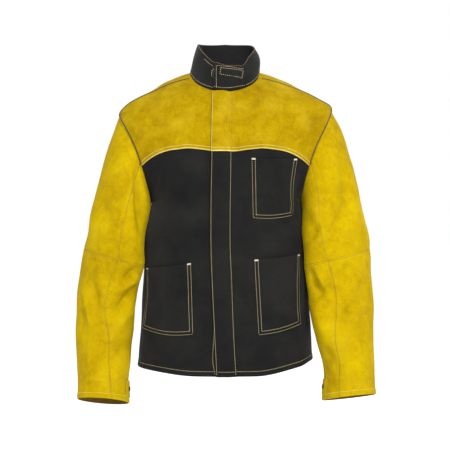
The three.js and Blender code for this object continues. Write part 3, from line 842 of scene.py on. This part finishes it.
def add_fronts():
    for name, side, seed in (("left", 1, 11), ("right", -1, 12)):
        yoke_levels = levels_between(-21.5, YOKE_LEVEL, 5.0, (-NECK_FRONT_DROP, SHOULDER_TIP[1]))
        yoke = front_panel_grid(side, yoke_levels, spaced(215, 5.5))
        wrinkle(yoke, YOKE_FOLDS, seed, 0.9)
        shape_edges(yoke, {"left": "seam", "right": "seam", "low": "lapped"})
        nodes = [f"{name}_front_yoke"]
        # A pale band along the lapped low edge: the cut edge's own paler colour and a painted highlight.
        rims = {"low": EDGE_HIGHLIGHT_WIDTH}
        cloth(f"{name}_yoke_leather", yoke, LEATHER, YOKE_LAYERS, ROOT, nodes, rims=rims)
        body_levels = levels_between(PANEL_TOP, HEM_LEVEL, 7.0, (ARMPIT[1],))
        body = front_panel_grid(side, body_levels, spaced(250, 6.5), to_hem=True)
        wrinkle(body, BODY_FOLDS, seed + 10, 1.3)
        tuck_under(body, 2.0)
        shape_edges(body, {"left": "seam", "right": "seam", "low": "hem"})
        nodes = [f"{name}_front_panel"]
        cloth(f"{name}_front_cotton", body, COTTON, COTTON_LAYERS, ROOT, nodes)
        gold = [yoke.line("low", LAP_INSET, 4, 4)]
        sew(f"{name}_yoke_stitching", gold, GOLD_THREAD, ROOT, radius=LAP_RADIUS)
        # Thick dark stitches raised out of the shoulder seam: thread, and the seam crease's painted shade.
        dark = [raised(yoke.line("right", 0.5, 1, 3), 1.7)]
        sew(f"{name}_shoulder_stitching", dark, DARK_THREAD_AND_SEAM_SHADE, ROOT, **SHOULDER_SHADE_STITCH)
        cream = [body.line("low", HEM_INSET, 6, 3)]
        sew(f"{name}_front_stitching", cream, CREAM_THREAD, ROOT)


def back_yoke_grid():
    """From shoulder seam to shoulder seam round the back: the top row follows the neckline."""
    tip_rows = [(SHOULDER_TIP[1] + gap - NECK_GAP) / (YOKE_LEVEL - NECK_GAP) for gap in (0.4, -0.4)]
    v = np.array(sorted([*spaced(205, 6.0), *tip_rows]))[:, None]
    across = mix(-1.0, 1.0, spaced(700, 6.5))[None, :]
    turn = across * (math.pi - NECK_SEAM_TURN)
    facing = -np.cos(turn)
    neck_dip = np.abs(facing) * np.where(facing > 0, NECK_FRONT_DROP, NECK_BACK_DROP)
    level = mix(NECK_GAP, YOKE_LEVEL, v) - neck_dip * (1 - smoothstep(v, 0, 0.35))
    neck_level = NECK_GAP - neck_dip
    share = NECK_HALF_WIDTH * np.abs(np.sin(turn)) / half_width(neck_level, facing > 0)
    slice_angle = np.arcsin(np.clip(share, 0, 1) ** (SQUARENESS / 2))
    on_neckline = np.sign(across) * np.where(facing > 0, math.pi - slice_angle, slice_angle)
    on_row = across * (math.pi - back_outer_angle(level))
    from_centre = mix(on_neckline, on_row, smoothstep(v, 0, 0.35))
    return Panel(*body_surface(math.pi - from_centre, level))


def add_back():
    yoke = back_yoke_grid()
    wrinkle(yoke, YOKE_FOLDS, 31, 1.0)
    shape_edges(yoke, {"left": "seam", "right": "seam", "low": "lapped"})
    # A pale band along the lapped low edge: the cut edge's own paler colour and a painted highlight.
    rims = {"low": EDGE_HIGHLIGHT_WIDTH}
    cloth("back_yoke_leather", yoke, LEATHER, YOKE_LAYERS, ROOT, ["back_yoke"], rims=rims)
    row = levels_between(PANEL_TOP, HEM_LEVEL, 7.0, (ARMPIT[1],))[:, None]
    edge = back_outer_angle(row)
    angle = mix(edge, 2 * math.pi - edge, spaced(560, 8.0)[None, :])
    x = half_width(row, False) * signed_power(np.sin(angle), 2 / SQUARENESS)
    level = row + hem_lift(x) * smoothstep(-row, HEM_LIFT_FROM, -HEM_LEVEL)
    body = Panel(*body_surface(angle, level))
    wrinkle(body, BODY_FOLDS, 32, 1.6)
    tuck_under(body, 2.0)
    shape_edges(body, {"left": "seam", "right": "seam", "low": "hem"})
    cloth("back_cotton", body, COTTON, COTTON_LAYERS, ROOT, ["back_panel"])
    sew("back_yoke_stitching", [yoke.line("low", LAP_INSET, 4, 4)], GOLD_THREAD, ROOT, radius=LAP_RADIUS)
    seams = [yoke.line(edge, SEAM_INSET, 1, 3) for edge in ("left", "right")]
    sew("back_shoulder_stitching", seams, HIDE_THREAD, ROOT, radius=0.36)
    sew("back_hem_stitching", [body.line("low", HEM_INSET, 3, 3)], CREAM_THREAD, ROOT)


# ---- Sleeves ----
def ring_curves(table):
    return [curve_through([(-i, row[k]) for i, row in enumerate(table)]) for k in range(len(table[0]))]


RING_CURVES = ring_curves(SLEEVE_RINGS)
HANG_CURVES = {side: ring_curves(table) for side, table in SLEEVE_HANG.items()}


def beside_body(y, z):
    """How far out a sleeve has to stay to lie against the body instead of in it."""
    share = np.clip(np.abs(y) / np.where(y < 0, front_depth(z), back_depth(z)), 0, 0.98)
    return half_width_station(z) * (1 - share**SQUARENESS) ** (1 / SQUARENESS) + BESIDE_BODY


def sleeve_surface(side, ring, angle):
    """Points and normals of a sleeve: angle 0 is its outer edge and -90 degrees its front."""
    ring, angle = np.broadcast_arrays(np.asarray(ring, float), np.asarray(angle, float))

    def place(ring, angle):
        inner_z, outer_z, depth, forward = (read(-ring) for read in RING_CURVES)
        inner_x, outer_x, lean = (read(-ring) for read in HANG_CURVES[side][:3])
        drop = smoothstep(ring, ELBOW_RING + 1, CUFF_RING)
        inner_z = inner_z + CUFF_DROP[side][0] * drop
        outer_z = outer_z + CUFF_DROP[side][1] * drop
        x = (inner_x + outer_x) / 2 + (outer_x - inner_x) / 2 * np.cos(angle)
        z = (inner_z + outer_z) / 2 + (outer_z - inner_z) / 2 * np.cos(angle)
        y = depth * np.sin(angle) - forward - lean * ((1 - np.cos(angle)) / 2) ** 1.5
        scoop = ARMHOLE_SCOOP * (1 - smoothstep(ring, 0, 2.6)) * np.abs(np.sin(angle)) ** 1.6
        x = x - scoop * np.where(np.sin(angle) < 0, 1.0, 0.5)
        y = y + np.sign(np.sin(angle)) * (1 - smoothstep(ring, 0, 2.2)) * 5.5 * np.abs(np.sin(angle)) ** 1.6
        z = z - CUFF_DROP[side][2] * np.sin(angle) * drop
        inside = beside_body(y, z) - x
        x = x + smoothstep(ring, 0.8, 2.2) * (inside + np.sqrt(inside**2 + 4)) / 2
        return np.stack([side * x, y, z + shoulder_set(side * x, z)], axis=-1)

    points = place(ring, angle)
    small = 1e-3
    down = place(np.minimum(ring + small, CUFF_RING), angle) - place(np.maximum(ring - small, 0), angle)
    around = place(ring, angle + small) - place(ring, angle - small)
    normals = np.cross(down, around) * side
    normals /= np.linalg.norm(normals, axis=-1, keepdims=True)
    return points, normals


# Folds of the sleeves, given for the wearer's left: the right sleeve's are mirrored.
SLEEVE_BACK_FOLDS = [
    (206, -450, 345, -430, 12, -5.0), (215, -480, 340, -500, 17, 6.0), (215, -430, 340, -380, 18, 5.0),
    (222, -560, 350, -540, 16, 4.0), (230, -640, 350, -620, 20, 3.0), (230, -350, 300, -260, 20, 4.0),
    (250, -720, 340, -700, 20, 2.6),
]
SLEEVE_FOLDS = {
    # the wearer's left
    1: {
        FRONT: [
            (279, -223, 289, -327, 11, -5.0), (289, -330, 254, -406, 11, -5.5),
            (262, -230, 262, -330, 13, 3.0),
            (310, -300, 322, -400, 16, 3.6), (191, -418, 220, -390, 9, -5.0),
            (212, -345, 232, -400, 11, 4.0),
            (198, -480, 220, -540, 9, -7.0), (214, -490, 240, -530, 9, 5.0),
            (206, -556, 252, -524, 8, -5.5),
            (308, -471, 271, -506, 11, -5.0), (330, -500, 285, -540, 12, 4.0),
            (309, -566, 271, -603, 10, -5.0),
            (320, -590, 284, -640, 13, 3.6), (212, -580, 240, -650, 14, 4.5),
            (232, -670, 262, -715, 11, -3.6),
            (300, -680, 330, -760, 16, 2.4),
        ],
        BACK: SLEEVE_BACK_FOLDS,
    },
    # the wearer's right
    -1: {
        FRONT: [
            (212, -250, 198, -397, 9, -8.5), (205, -262, 187, -352, 8, 4.0),
            (292, -330, 272, -416, 15, -4.0),
            (312, -290, 330, -400, 15, 3.0), (200, -468, 246, -520, 10, -7.0),
            (208, -508, 270, -546, 9, 5.5),
            (220, -533, 258, -588, 10, -7.0), (222, -575, 264, -630, 12, 4.5),
            (226, -440, 250, -490, 12, 4.0),
            (339, -540, 317, -624, 7, 5.0), (318, -515, 303, -592, 10, -4.5),
            (350, -560, 340, -640, 12, -3.0),
            (230, -665, 262, -700, 10, -4.0), (232, -690, 270, -760, 14, 3.6),
            (318, -650, 326, -770, 16, 2.6),
        ],
        BACK: SLEEVE_BACK_FOLDS,
    },
}
SLEEVE_FOLD_DEPTH = 2.1


def ring_rows(first, last, length, step):
    return mix(float(first), float(last), spaced(length, step))


def sleeve_panel(side, rows, arc, seed):
    """One of the four hides of a sleeve, between two lengthwise seams."""
    seam = np.radians(HANG_CURVES[side][3](-rows))[:, None]
    ends = (-seam, BACK_SEAM) if arc == "top" else (BACK_SEAM, 2 * math.pi - seam)
    angles = mix(ends[0], ends[1], spaced(245, 6.0)[None, :])
    panel = Panel(*sleeve_surface(side, rows[:, None], angles))
    panel.push(fold_heights(panel, SLEEVE_FOLDS[side], side, SLEEVE_FOLD_DEPTH) * ends_calm(panel))
    panel.push(waves(panel.points, seed, 150, 45, 1.5) * ends_calm(panel))
    return panel


def ends_calm(panel):
    down = panel.arc(0)
    left = np.take(down, [-1], axis=0) - down
    return smoothstep(down, -6, 34) * smoothstep(left, -10, 26)


def add_sleeve(name, side):
    upper, forearm = f"{name}_upper_sleeve", f"{name}_forearm"
    upper_how = ("blend", "root", upper, (side * 224, 0, -211.5), (side * 288, 0, -235))
    lower_how = ("blend", upper, forearm, (side * 280, -20, -475), (side * 295, -45, -620))
    parts = (("upper", 0, ELBOW_RING, 300, upper_how), ("lower", ELBOW_RING, CUFF_RING, 350, lower_how))
    seams = {"upper": [], "lower": [], "armhole": [], "elbow": [], "cuff": []}
    for arc in ("top", "under"):
        for part, first, last, length, how in parts:
            rows = ring_rows(first, last, length, 7.0)
            panel = sleeve_panel(side, rows, arc, 50 + side)
            low = "hem" if part == "lower" else "seam"
            shape_edges(panel, {"left": "seam", "right": "seam", "top": "seam", "low": low})
            nodes = [f"{name}_{part}_sleeve_{arc}"]
            cloth(f"{name}_{part}_{arc}_hide", panel, LEATHER, SLEEVE_LAYERS, how, nodes)
            if arc == "top":
                seams[part] += [panel.line(edge, SEAM_INSET, 2, 2) for edge in ("left", "right")]
            if part == "upper":
                seams["armhole"].append(panel.line("top", ARMHOLE_INSET, 1, 1))
            else:
                seams["cuff"].append(panel.line("low", HEM_INSET, 1, 1))
                seams["elbow"].append(panel.line("top", ELBOW_INSET, 1, 1))
    # The wearer's right upper sleeve gets the dark thread, which paints the shade in its seams' creases; the
    # left upper sleeve gets thread of the hide's colour.
    upper_thread = SEAM_THREAD_AND_SHADE if side < 0 else HIDE_THREAD
    sew(f"{name}_upper_sleeve_stitching", seams["upper"], upper_thread, upper_how)
    # Dark stitches in the armhole seam: thread, and the seam crease's painted shade.
    sew(f"{name}_armhole_stitching", seams["armhole"], DARK_THREAD_AND_SEAM_SHADE, upper_how, **SEAM_SHADE_STITCH)
    sew(f"{name}_lower_sleeve_stitching", seams["lower"] + seams["elbow"], SEAM_THREAD_AND_SHADE, lower_how)
    sew(f"{name}_cuff_stitching", seams["cuff"], GOLD_THREAD, lower_how)


# ---- Storm flap and press studs ----
FLAP_HOW = ("blend", "root", "storm_flap", (15, -140, -400), (2, -140, -400))
FLAP_RISE = 0.8
FLAP_STAND_OFF = 4.4
STUD_LEVELS = (-150, -290, -430, -570, -700)
STUD_X = -6.0
STUD_RADIUS = 6.3
FRONT_STITCH = {"x": -27.5, "top": -628.0}
# A cap's profile from foot to crown: shares of its radius and of its height.
CAP_SHAPE = [
    (0, 0), (0.97, 0), (1, 0.25), (0.97, 0.6), (0.86, 0.86), (0.7, 0.93), (0.64, 0.84), (0.3, 0.95), (0, 1),
]


def flap_grid(top, low, step):
    level = levels_between(top, low, step)[:, None]
    u = spaced(46, 4.0)[None, :]
    x = mix(flap_seam_x(level), flap_free_x(level), u)
    points, normals = front_surface(x, np.broadcast_to(level, x.shape))
    panel = Panel(points, normals)
    puff = 0.5 * np.sin(math.pi * u)
    panel.push(mix(FLAP_RISE, FLAP_STAND_OFF, smoothstep(u, 0, 0.4)) + 2.2 + puff)
    panel.push(waves(panel.points, 71, 120, 40, 0.7) * smoothstep(panel.edge_distance("left"), 0, 20))
    return panel


def add_cap(name, radius, height, base, axis, how, node):
    """A lathe-turned half of a press stud, standing on base along its axis."""
    sides = 40
    axis = axis / np.linalg.norm(axis)
    side = np.cross(axis, [0.0, 0.3, 1.0])
    side /= np.linalg.norm(side)
    other = np.cross(axis, side)
    vertices = []
    for share, rise in CAP_SHAPE[1:-1]:
        for k in range(sides):
            a = 2 * math.pi * k / sides
            outward = side * math.cos(a) + other * math.sin(a)
            vertices.append(base + axis * (height * rise) + outward * (radius * share))
    foot, crown = len(vertices), len(vertices) + 1
    vertices += [base, base + axis * height]
    bands = len(CAP_SHAPE) - 3
    last = bands * sides
    faces = []
    for k in range(sides):
        n = (k + 1) % sides
        for a in range(0, last, sides):
            faces.append((a + k, a + n, a + sides + n, a + sides + k))
        faces += [(foot, n, k), (crown, last + k, last + n)]
    place_on(make_object(name, vertices, faces, [STUD_METAL], sharp=35), how, [node])


def add_storm_flap():
    leather = flap_grid(-NECK_FRONT_DROP - 2.5, YOKE_LEVEL - yoke_dip(0), 7.0)
    shape_edges(leather, {"left": "seam", "right": "folded", "top": "folded", "low": "lapped"})
    nodes = ["storm_flap_leather"]
    # Pale bands on the face: along the lapped low edge the cut edge's own paler colour and a painted
    # highlight; along the folded free edge a painted highlight only.
    rims = {"low": EDGE_HIGHLIGHT_WIDTH, "right": 1.8}
    cloth("flap_leather", leather, LEATHER, YOKE_LAYERS, FLAP_HOW, nodes, rims=rims)
    cotton = flap_grid(PANEL_TOP, HEM_LEVEL, 8.0)
    tuck_under(cotton, 1.8)
    shape_edges(cotton, {"left": "seam", "right": "folded", "low": "hem"})
    cloth("flap_cotton", cotton, COTTON, COTTON_LAYERS, FLAP_HOW, ["storm_flap_cotton"])
    lines = [leather.line("low", LAP_INSET, 3, 3)]
    sew("flap_leather_stitching", lines, GOLD_THREAD, FLAP_HOW, radius=LAP_RADIUS)
    lines = [leather.line("right", 2.4, 4, 4), leather.line("left", 1.6, 2, 2)]
    sew("flap_edge_stitching", lines, HIDE_THREAD, FLAP_HOW)
    lines = [cotton.line("right", 2.4, 10, 5), cotton.line("low", HEM_INSET, 4, 4)]
    lines.append(cotton.line("left", 1.8, 10, 4))
    sew("flap_cotton_stitching", lines, CREAM_THREAD, FLAP_HOW)


def add_front_edge_stitching():
    """The stitch line that shows on the right front where the flap ends above the hem."""
    level = np.arange(FRONT_STITCH["top"], HEM_LEVEL + 4, -2.0)
    x = FRONT_STITCH["x"] - 2.5 * smoothstep(-level, 640, 690) + 5.0 * smoothstep(-level, 700, 735)
    line = trimmed(*front_surface(x, level))
    sew("front_edge_stitching", [raised(line, 1.6)], CREAM_THREAD, ROOT)


def add_press_studs():
    """Each stud stays on the right front, and its socket rides the flap over it."""
    flap = ("ride", "storm_flap")
    for i, level in enumerate(STUD_LEVELS, 1):
        point, normal = front_surface(STUD_X, float(level))
        foot, cap = point + normal * 0.4, point + normal * 2.3
        add_cap(f"press_stud_{i}", STUD_RADIUS, 1.5, foot, normal, ROOT, f"front_stud_{i}")
        add_cap(f"press_socket_{i}", STUD_RADIUS, 1.4, cap, normal, flap, f"front_socket_{i}")


# ---- Pockets ----
POCKETS = {
    # top inner, top outer, low inner, low outer as (x, z), how far it bulges, how far its lower edge sags
    "chest_pocket": ((61, -221), (171, -221), (63.5, -364), (158.5, -358), 5.0, 4.5),
    "left_hip_pocket": ((67.5, -461), (179, -450), (77, -641), (181, -619), 5.5, 4.0),
    "right_hip_pocket": ((-81, -469), (-190, -484), (-75.5, -639), (-201, -632), 5.5, 7.0),
}
POCKET_STITCHES = (2.4, 10.2)
POCKET_STAND_OFF = 1.6
POCKET_WAIST = 3.0
MOUTH_SAG = 2.0


def pocket_grid(corners, bulge, sag):
    top_inner, top_outer, low_inner, low_outer = (np.array(c, float) for c in corners)
    u, v = spaced(110, 5.0)[None, :], spaced(150, 5.0)[:, None]
    x = mix(mix(top_inner[0], top_outer[0], u), mix(low_inner[0], low_outer[0], u), v)
    waist = POCKET_WAIST * np.sin(math.pi * v) * smoothstep(u, 0.3, 1.0)
    x = x - np.sign(top_outer[0]) * waist
    top = mix(top_inner[1], top_outer[1], u) - MOUTH_SAG * np.sin(math.pi * u)
    low = mix(low_inner[1], low_outer[1], u) - sag * np.sin(math.pi * u)
    points, normals = front_surface(x, mix(top, low, v))
    panel = Panel(points, normals)
    lift = bulge * np.clip(np.sin(math.pi * u), 0, 1) ** 0.8 * (1 - v) ** 0.6
    panel.push(POCKET_STAND_OFF + lift)
    return panel


def bartacks(panel):
    """A short bar of dense stitches across both stitch lines at each corner of the pocket's mouth."""
    bars = []
    for depth in (1.6, 2.8, 4.0):
        points, normals = panel.line("top", depth, 1.4, 1.4)
        bars += [(points[:7], normals[:7]), (points[-7:], normals[-7:])]
    return bars


def add_pockets():
    for seed, (name, (*corners, bulge, sag)) in enumerate(POCKETS.items(), 80):
        panel = pocket_grid(corners, bulge, sag)
        wrinkles = waves(panel.points, seed, 80, 30, 0.8)
        panel.push(wrinkles * smoothstep(panel.edge_distance("low"), 0, 30))
        edges = {edge: "topstitched" for edge in ("left", "right", "low")}
        shape_edges(panel, {**edges, "top": "mouth"})
        cloth(f"{name}_cotton", panel, COTTON, COTTON_LAYERS, ROOT, [name])
        lines = []
        for inset in POCKET_STITCHES:
            lines += [panel.line(edge, inset, 1.5, inset) for edge in ("left", "right")]
            lines.append(panel.line("low", inset, inset, inset))
        sew(f"{name}_stitching", lines, CREAM_THREAD, ROOT)
        sew(f"{name}_bartacks", bartacks(panel), PALE_THREAD, ROOT, pitch=1.3, length=2.2, radius=0.6)


# ---- Collar ----
TAB_HINGE_X = 48.0
TAB_FREE_X = -28.0
TAB_HOW = ("blend", "root", "collar_tab", (47, -82, -10), (36, -86, -10))
RIM_INSET = 2.6
BASE_INSET = 6.5
COLLAR_FLARE = {"right": 4.2, "left": 1.0}  # how far the base spreads over the yoke
COLLAR_BELLY = {"right": 4.5, "left": 9.0, "front": 2.2}

right_rim_rise = curve_through(RIM_RISE["right"])
left_rim_rise = curve_through(RIM_RISE["left"])


def collar_surface(turn, height):
    """turn is 0 at the front and 90 degrees at the wearer's left; height runs from base 0 to rim 1."""
    turn, height = np.broadcast_arrays(np.asarray(turn, float), np.asarray(height, float))

    def place(turn, height):
        facing, sideways = np.cos(turn), np.sin(turn)
        is_front = facing >= 0
        base_level = -np.where(is_front, NECK_FRONT_DROP, NECK_BACK_DROP) * np.abs(facing)
        base_x = NECK_HALF_WIDTH * sideways
        share = np.clip(np.abs(base_x) / half_width(base_level, is_front), 0, 1)
        base_depth = depth_at(base_level, is_front) * (1 - share**SQUARENESS) ** (1 / SQUARENESS)
        base_y = -np.sign(facing) * base_depth
        rim_y = -np.where(is_front, RIM["front"], RIM["back"]) * facing
        round_it = np.degrees(np.abs(np.remainder(turn + math.pi, 2 * math.pi) - math.pi))
        rise = np.where(sideways > 0, left_rim_rise(-round_it), right_rim_rise(-round_it))
        leftness = smoothstep(sideways, -0.5, 0.5)
        x = mix(base_x, mix(RIM["right"], RIM["left"], leftness) * sideways, height)
        y = mix(base_y, rim_y, height)
        z = mix(base_level, RIM["front_level"] + rise, height)
        belly = np.sin(math.pi * height**1.35)
        flare = mix(COLLAR_FLARE["right"], COLLAR_FLARE["left"], leftness) * (1 - height) ** 3
        side_belly = mix(COLLAR_BELLY["right"], COLLAR_BELLY["left"], leftness) * belly
        x = x + (flare + side_belly) * sideways
        y = y - (flare + COLLAR_BELLY["front"] * belly) * facing
        return np.stack([x, y, z], axis=-1)

    small = 1e-3
    points = place(turn, height)
    around = place(turn + small, height) - place(turn - small, height)
    up = place(turn, np.clip(height + small, 0, 1)) - place(turn, np.clip(height - small, 0, 1))
    normals = np.cross(around, up)
    return points, normals / np.linalg.norm(normals, axis=-1, keepdims=True)


def collar_grid(turn_from, turn_to, low, high, length, lift=None, step=5.0):
    """Columns run round the neck and rows from the rim down to the base."""
    u = spaced(length, step)
    rows = mix(high, low, spaced(75, 4.0))
    panel = Panel(*collar_surface(mix(turn_from, turn_to, u)[None, :], rows[:, None]))
    if lift is not None:
        panel.push(lift(u)[None, :])
    return panel


def collar_turn(x):
    return math.asin(x / NECK_HALF_WIDTH)


def tab_lift(u):
    """How far the tab's face stands off the collar, u running from its fold to its free end."""
    return 1.9 + 3.4 * smoothstep(u, 0, 0.25)


def on_band(u):
    return 0.0


def on_patch(u):
    return 1.4


def collar_line(corners, lift):
    """A stitch line on the front of the collar through corners given as (x, level)."""
    corners = np.array(corners, float)
    lengths = lengths_along(corners)
    where = np.linspace(0, lengths[-1], max(4, int(lengths[-1] / 2.0)))
    fold, end = collar_turn(TAB_HINGE_X), collar_turn(TAB_FREE_X)
    points, normals = [], []
    for x, level in zip(*(np.interp(where, lengths, row) for row in corners.T)):
        turn, height = collar_turn(x), 0.5
        for _ in range(14):
            here = collar_surface(turn, height)[0]
            rise = collar_surface(turn, 1.0)[0][2] - collar_surface(turn, 0.0)[0][2]
            turn += (x - here[0]) / NECK_HALF_WIDTH
            height = min(1.0, max(0.0, height + (level - here[2]) / rise))
        point, normal = collar_surface(turn, height)
        points.append(point + normal * lift((turn - fold) / (end - fold)))
        normals.append(normal)
    return trimmed(np.array(points), np.array(normals))


def add_collar():
    start = collar_turn(TAB_HINGE_X) - 0.02
    end = 2 * math.pi + collar_turn(TAB_HINGE_X - 22)
    band = collar_grid(start, end, 0.0, 1.0, 500)
    band.push(waves(band.points, 91, 110, 45, 0.8) * smoothstep(band.edge_distance("top"), 0, 25))
    shape_edges(band, {"top": "topstitched", "low": "seam"})
    cloth("collar_outer", band, COTTON, COTTON_LAYERS, ROOT, ["collar_shell"])
    lining = collar_grid(start, end, 0.0, 0.985, 490)
    lining.push(-COTTON - 0.5)
    cloth("collar_inner", lining, COTTON, [TWILL_INSIDE], ROOT, ["collar_lining"])
    tab = collar_grid(collar_turn(TAB_HINGE_X), collar_turn(TAB_FREE_X), 0.0, 1.0, 90, tab_lift, 3.5)
    tab.push(waves(tab.points, 92, 60, 30, 0.3))
    shape_edges(tab, {"top": "topstitched", "low": "seam", "right": "topstitched"})
    cloth("collar_end", tab, COTTON + 0.3, COTTON_LAYERS, TAB_HOW, ["collar_tab"])
    tapes = (("loop", 24, -35, 62, 1.2, ROOT), ("hook", 30, -13, 46, 3.1, ("ride", "collar_tab")))
    for kind, start_x, end_x, length, lift, how in tapes:
        tape = collar_grid(collar_turn(start_x), collar_turn(end_x), 0.42, 0.8, length)
        tape.push(lift)
        nodes = [f"collar_{kind}_patch"]
        cloth(f"collar_{kind}s", tape, 0.9, [HOOK_PILE], how, nodes)
    sew("collar_rim_stitching", [band.line("top", RIM_INSET, 3, 3)], RUST_THREAD, ROOT)
    lines = [band.line("low", BASE_INSET, 3, 3)]
    lines.append(collar_line(((-52, 25), (-41, 13), (-30, 4)), on_band))
    lines.append(collar_line(((-27, -3), (-33, -9), (-34, -21)), on_patch))
    sew("collar_stitching", lines, CREAM_THREAD, ROOT)
    sew("collar_end_rim_stitching", [tab.line("top", RIM_INSET, 3, 3)], RUST_THREAD, TAB_HOW)
    box = ((-11, -3), (42, -9), (38, -27), (-13, -19), (-11, -3))
    edge = ((-21.5, 3), (-21.5, -52))
    brace = ((-21, 3), (15, -1), (35, -5), (45, -2))
    lines = [tab.line("low", BASE_INSET, 3, 4)]
    lines += [collar_line(corners, tab_lift) for corners in (edge, box, brace)]
    sew("collar_end_stitching", lines, CREAM_THREAD, TAB_HOW)


# ---- Inside the neck ----
HANGER = {"half_width": 30.0, "ends": 54.5, "bow": 12.5, "top": 3.0, "low": -7.2}
LABEL_HALF_TURN = 0.05
LABEL_LEVELS = (-40, -62)


def add_neck_fittings():
    """The ribbon loop that the jacket hangs from, bowed away from the neck, and the blank size label."""
    t = np.linspace(-1, 1, 41)
    x = HANGER["half_width"] * t
    y = HANGER["ends"] - HANGER["bow"] * (1 - t * t)
    run = np.stack([x, y], axis=-1)
    slope = np.gradient(run, axis=0)
    slope /= np.linalg.norm(slope, axis=1, keepdims=True)
    normal = np.stack([slope[:, 1], -slope[:, 0], 0 * t], axis=-1)
    rows = np.linspace(HANGER["top"], HANGER["low"], 8)
    points = np.stack([np.stack([x, y, 0 * t + z], axis=-1) for z in rows])
    ribbon = Panel(points, np.broadcast_to(normal, points.shape).copy())
    cloth("hanger_ribbon", ribbon, 1.4, [BLACK_TWILL], ROOT, ["hanger_loop"])
    angles = math.pi + np.linspace(-LABEL_HALF_TURN, LABEL_HALF_TURN, 15)[None, :]
    label = Panel(*body_surface(angles, np.linspace(*LABEL_LEVELS, 12)[:, None]))
    label.push(-LEATHER - 1.1)
    cloth("blank_label", label, 0.5, [LABEL], ROOT, ["size_label"])


# ---- Cuffs ----
# Where the strap and its stud lie on the sleeve, by ring and by degrees round from the outer edge.
CUFF_STRAP = {"rings": (10.34, 10.84), "degrees": (168, 203), "lift": 2.6}
CUFF_STUD = {"ring": 10.6, "degrees": 188}
STRAP_INSET = 4.0


def add_cuff(name, side):
    """The strap that tightens the cuff: a tab on its hinge, a stud on the sleeve and a cap over it."""
    how = ("ride", f"{name}_cuff_tab")
    angles = mix(*np.radians(CUFF_STRAP["degrees"]), spaced(42, 3.0, FEW_EDGE_ROWS))
    rows = mix(*CUFF_STRAP["rings"], spaced(39, 3.0, FEW_EDGE_ROWS))
    tab = Panel(*sleeve_surface(side, rows[:, None], angles[None, :]))
    tab.push(CUFF_STRAP["lift"])
    shape_edges(tab, {edge: "folded" for edge in ("right", "top", "low")})
    layers = [SLEEVE_HIDE, HIDE_INSIDE, SLEEVE_HIDE]
    cloth(f"{name}_cuff_strap", tab, LEATHER, layers, how, [f"{name}_cuff_tab"])
    lines = [tab.line(edge, STRAP_INSET, start, 4) for edge, start in (("top", 2), ("low", 2), ("right", 4))]
    sew(f"{name}_cuff_strap_stitching", lines, HIDE_THREAD, how)
    base, axis = sleeve_surface(side, CUFF_STUD["ring"], math.radians(CUFF_STUD["degrees"]))
    forearm = ("ride", f"{name}_forearm")
    add_cap(f"{name}_cuff_stud_base", 5.8, 1.0, base + axis * 0.2, axis, forearm, f"{name}_cuff_socket")
    add_cap(f"{name}_cuff_stud_cap", 6.0, 2.4, base + axis * 2.7, axis, how, f"{name}_cuff_cap")


# ---- Stage ----
CAMERA_PLACE = (-0.00125, -2.4, -0.380)
FLOOR_DROP = 0.4
# Each lamp's place, the point it is aimed at, its width and its power.
LAMPS = {
    "key": ((0.9, -3.0, 1.5), (0, 0, -0.35), 1.0, 125),
    "fill": ((-2.2, -2.6, 0.4), (0, 0, -0.4), 2.0, 14),
    "rim": ((0.6, 2.8, 1.8), (0, 0, -0.2), 1.8, 30),
}


def add_camera():
    camera = bpy.data.objects.new("camera", bpy.data.cameras.new("camera"))
    camera.data.lens = 76.8
    camera.data.sensor_width = 36.0
    camera.location = CAMERA_PLACE
    camera.rotation_euler = (math.radians(90), 0, 0)
    bpy.context.collection.objects.link(camera)
    bpy.context.scene.camera = camera


def add_lamp(name, location, aim, size, power):
    lamp = bpy.data.lights.new(name, "AREA")
    lamp.shape = "DISK"
    lamp.size = size
    lamp.energy = power
    light = bpy.data.objects.new(name, lamp)
    light.location = location
    offset = np.array(aim) - np.array(location)
    yaw = math.atan2(offset[1], offset[0]) - math.pi / 2
    pitch = math.atan2(offset[2], math.hypot(offset[0], offset[1])) + math.pi / 2
    light.rotation_euler = (pitch, 0, yaw)
    bpy.context.collection.objects.link(light)


def add_stage():
    place = (0, 0, CAD_BOX[0][2] - FLOOR_DROP)
    bpy.ops.mesh.primitive_circle_add(vertices=96, radius=40, fill_type="NGON", location=place)
    floor = bpy.context.object
    floor.name = "floor"
    floor.data.materials.append(pale_floor("pale_floor"))
    world = bpy.data.worlds.new("studio")
    world.use_nodes = True
    backdrop = world.node_tree.nodes["Background"]
    backdrop.inputs["Color"].default_value = (1, 1, 1, 1)
    backdrop.inputs["Strength"].default_value = 1.0
    bpy.context.scene.world = world
    for name, settings in LAMPS.items():
        add_lamp(name, *settings)
    bpy.context.scene.view_settings.view_transform = "Standard"


add_camera()
add_fronts()
add_back()
add_storm_flap()
add_front_edge_stitching()
add_press_studs()
add_pockets()
add_collar()
add_neck_fittings()
for sleeve_name, sleeve_side in (("left", 1), ("right", -1)):
    add_sleeve(sleeve_name, sleeve_side)
    add_cuff(sleeve_name, sleeve_side)
add_stage()
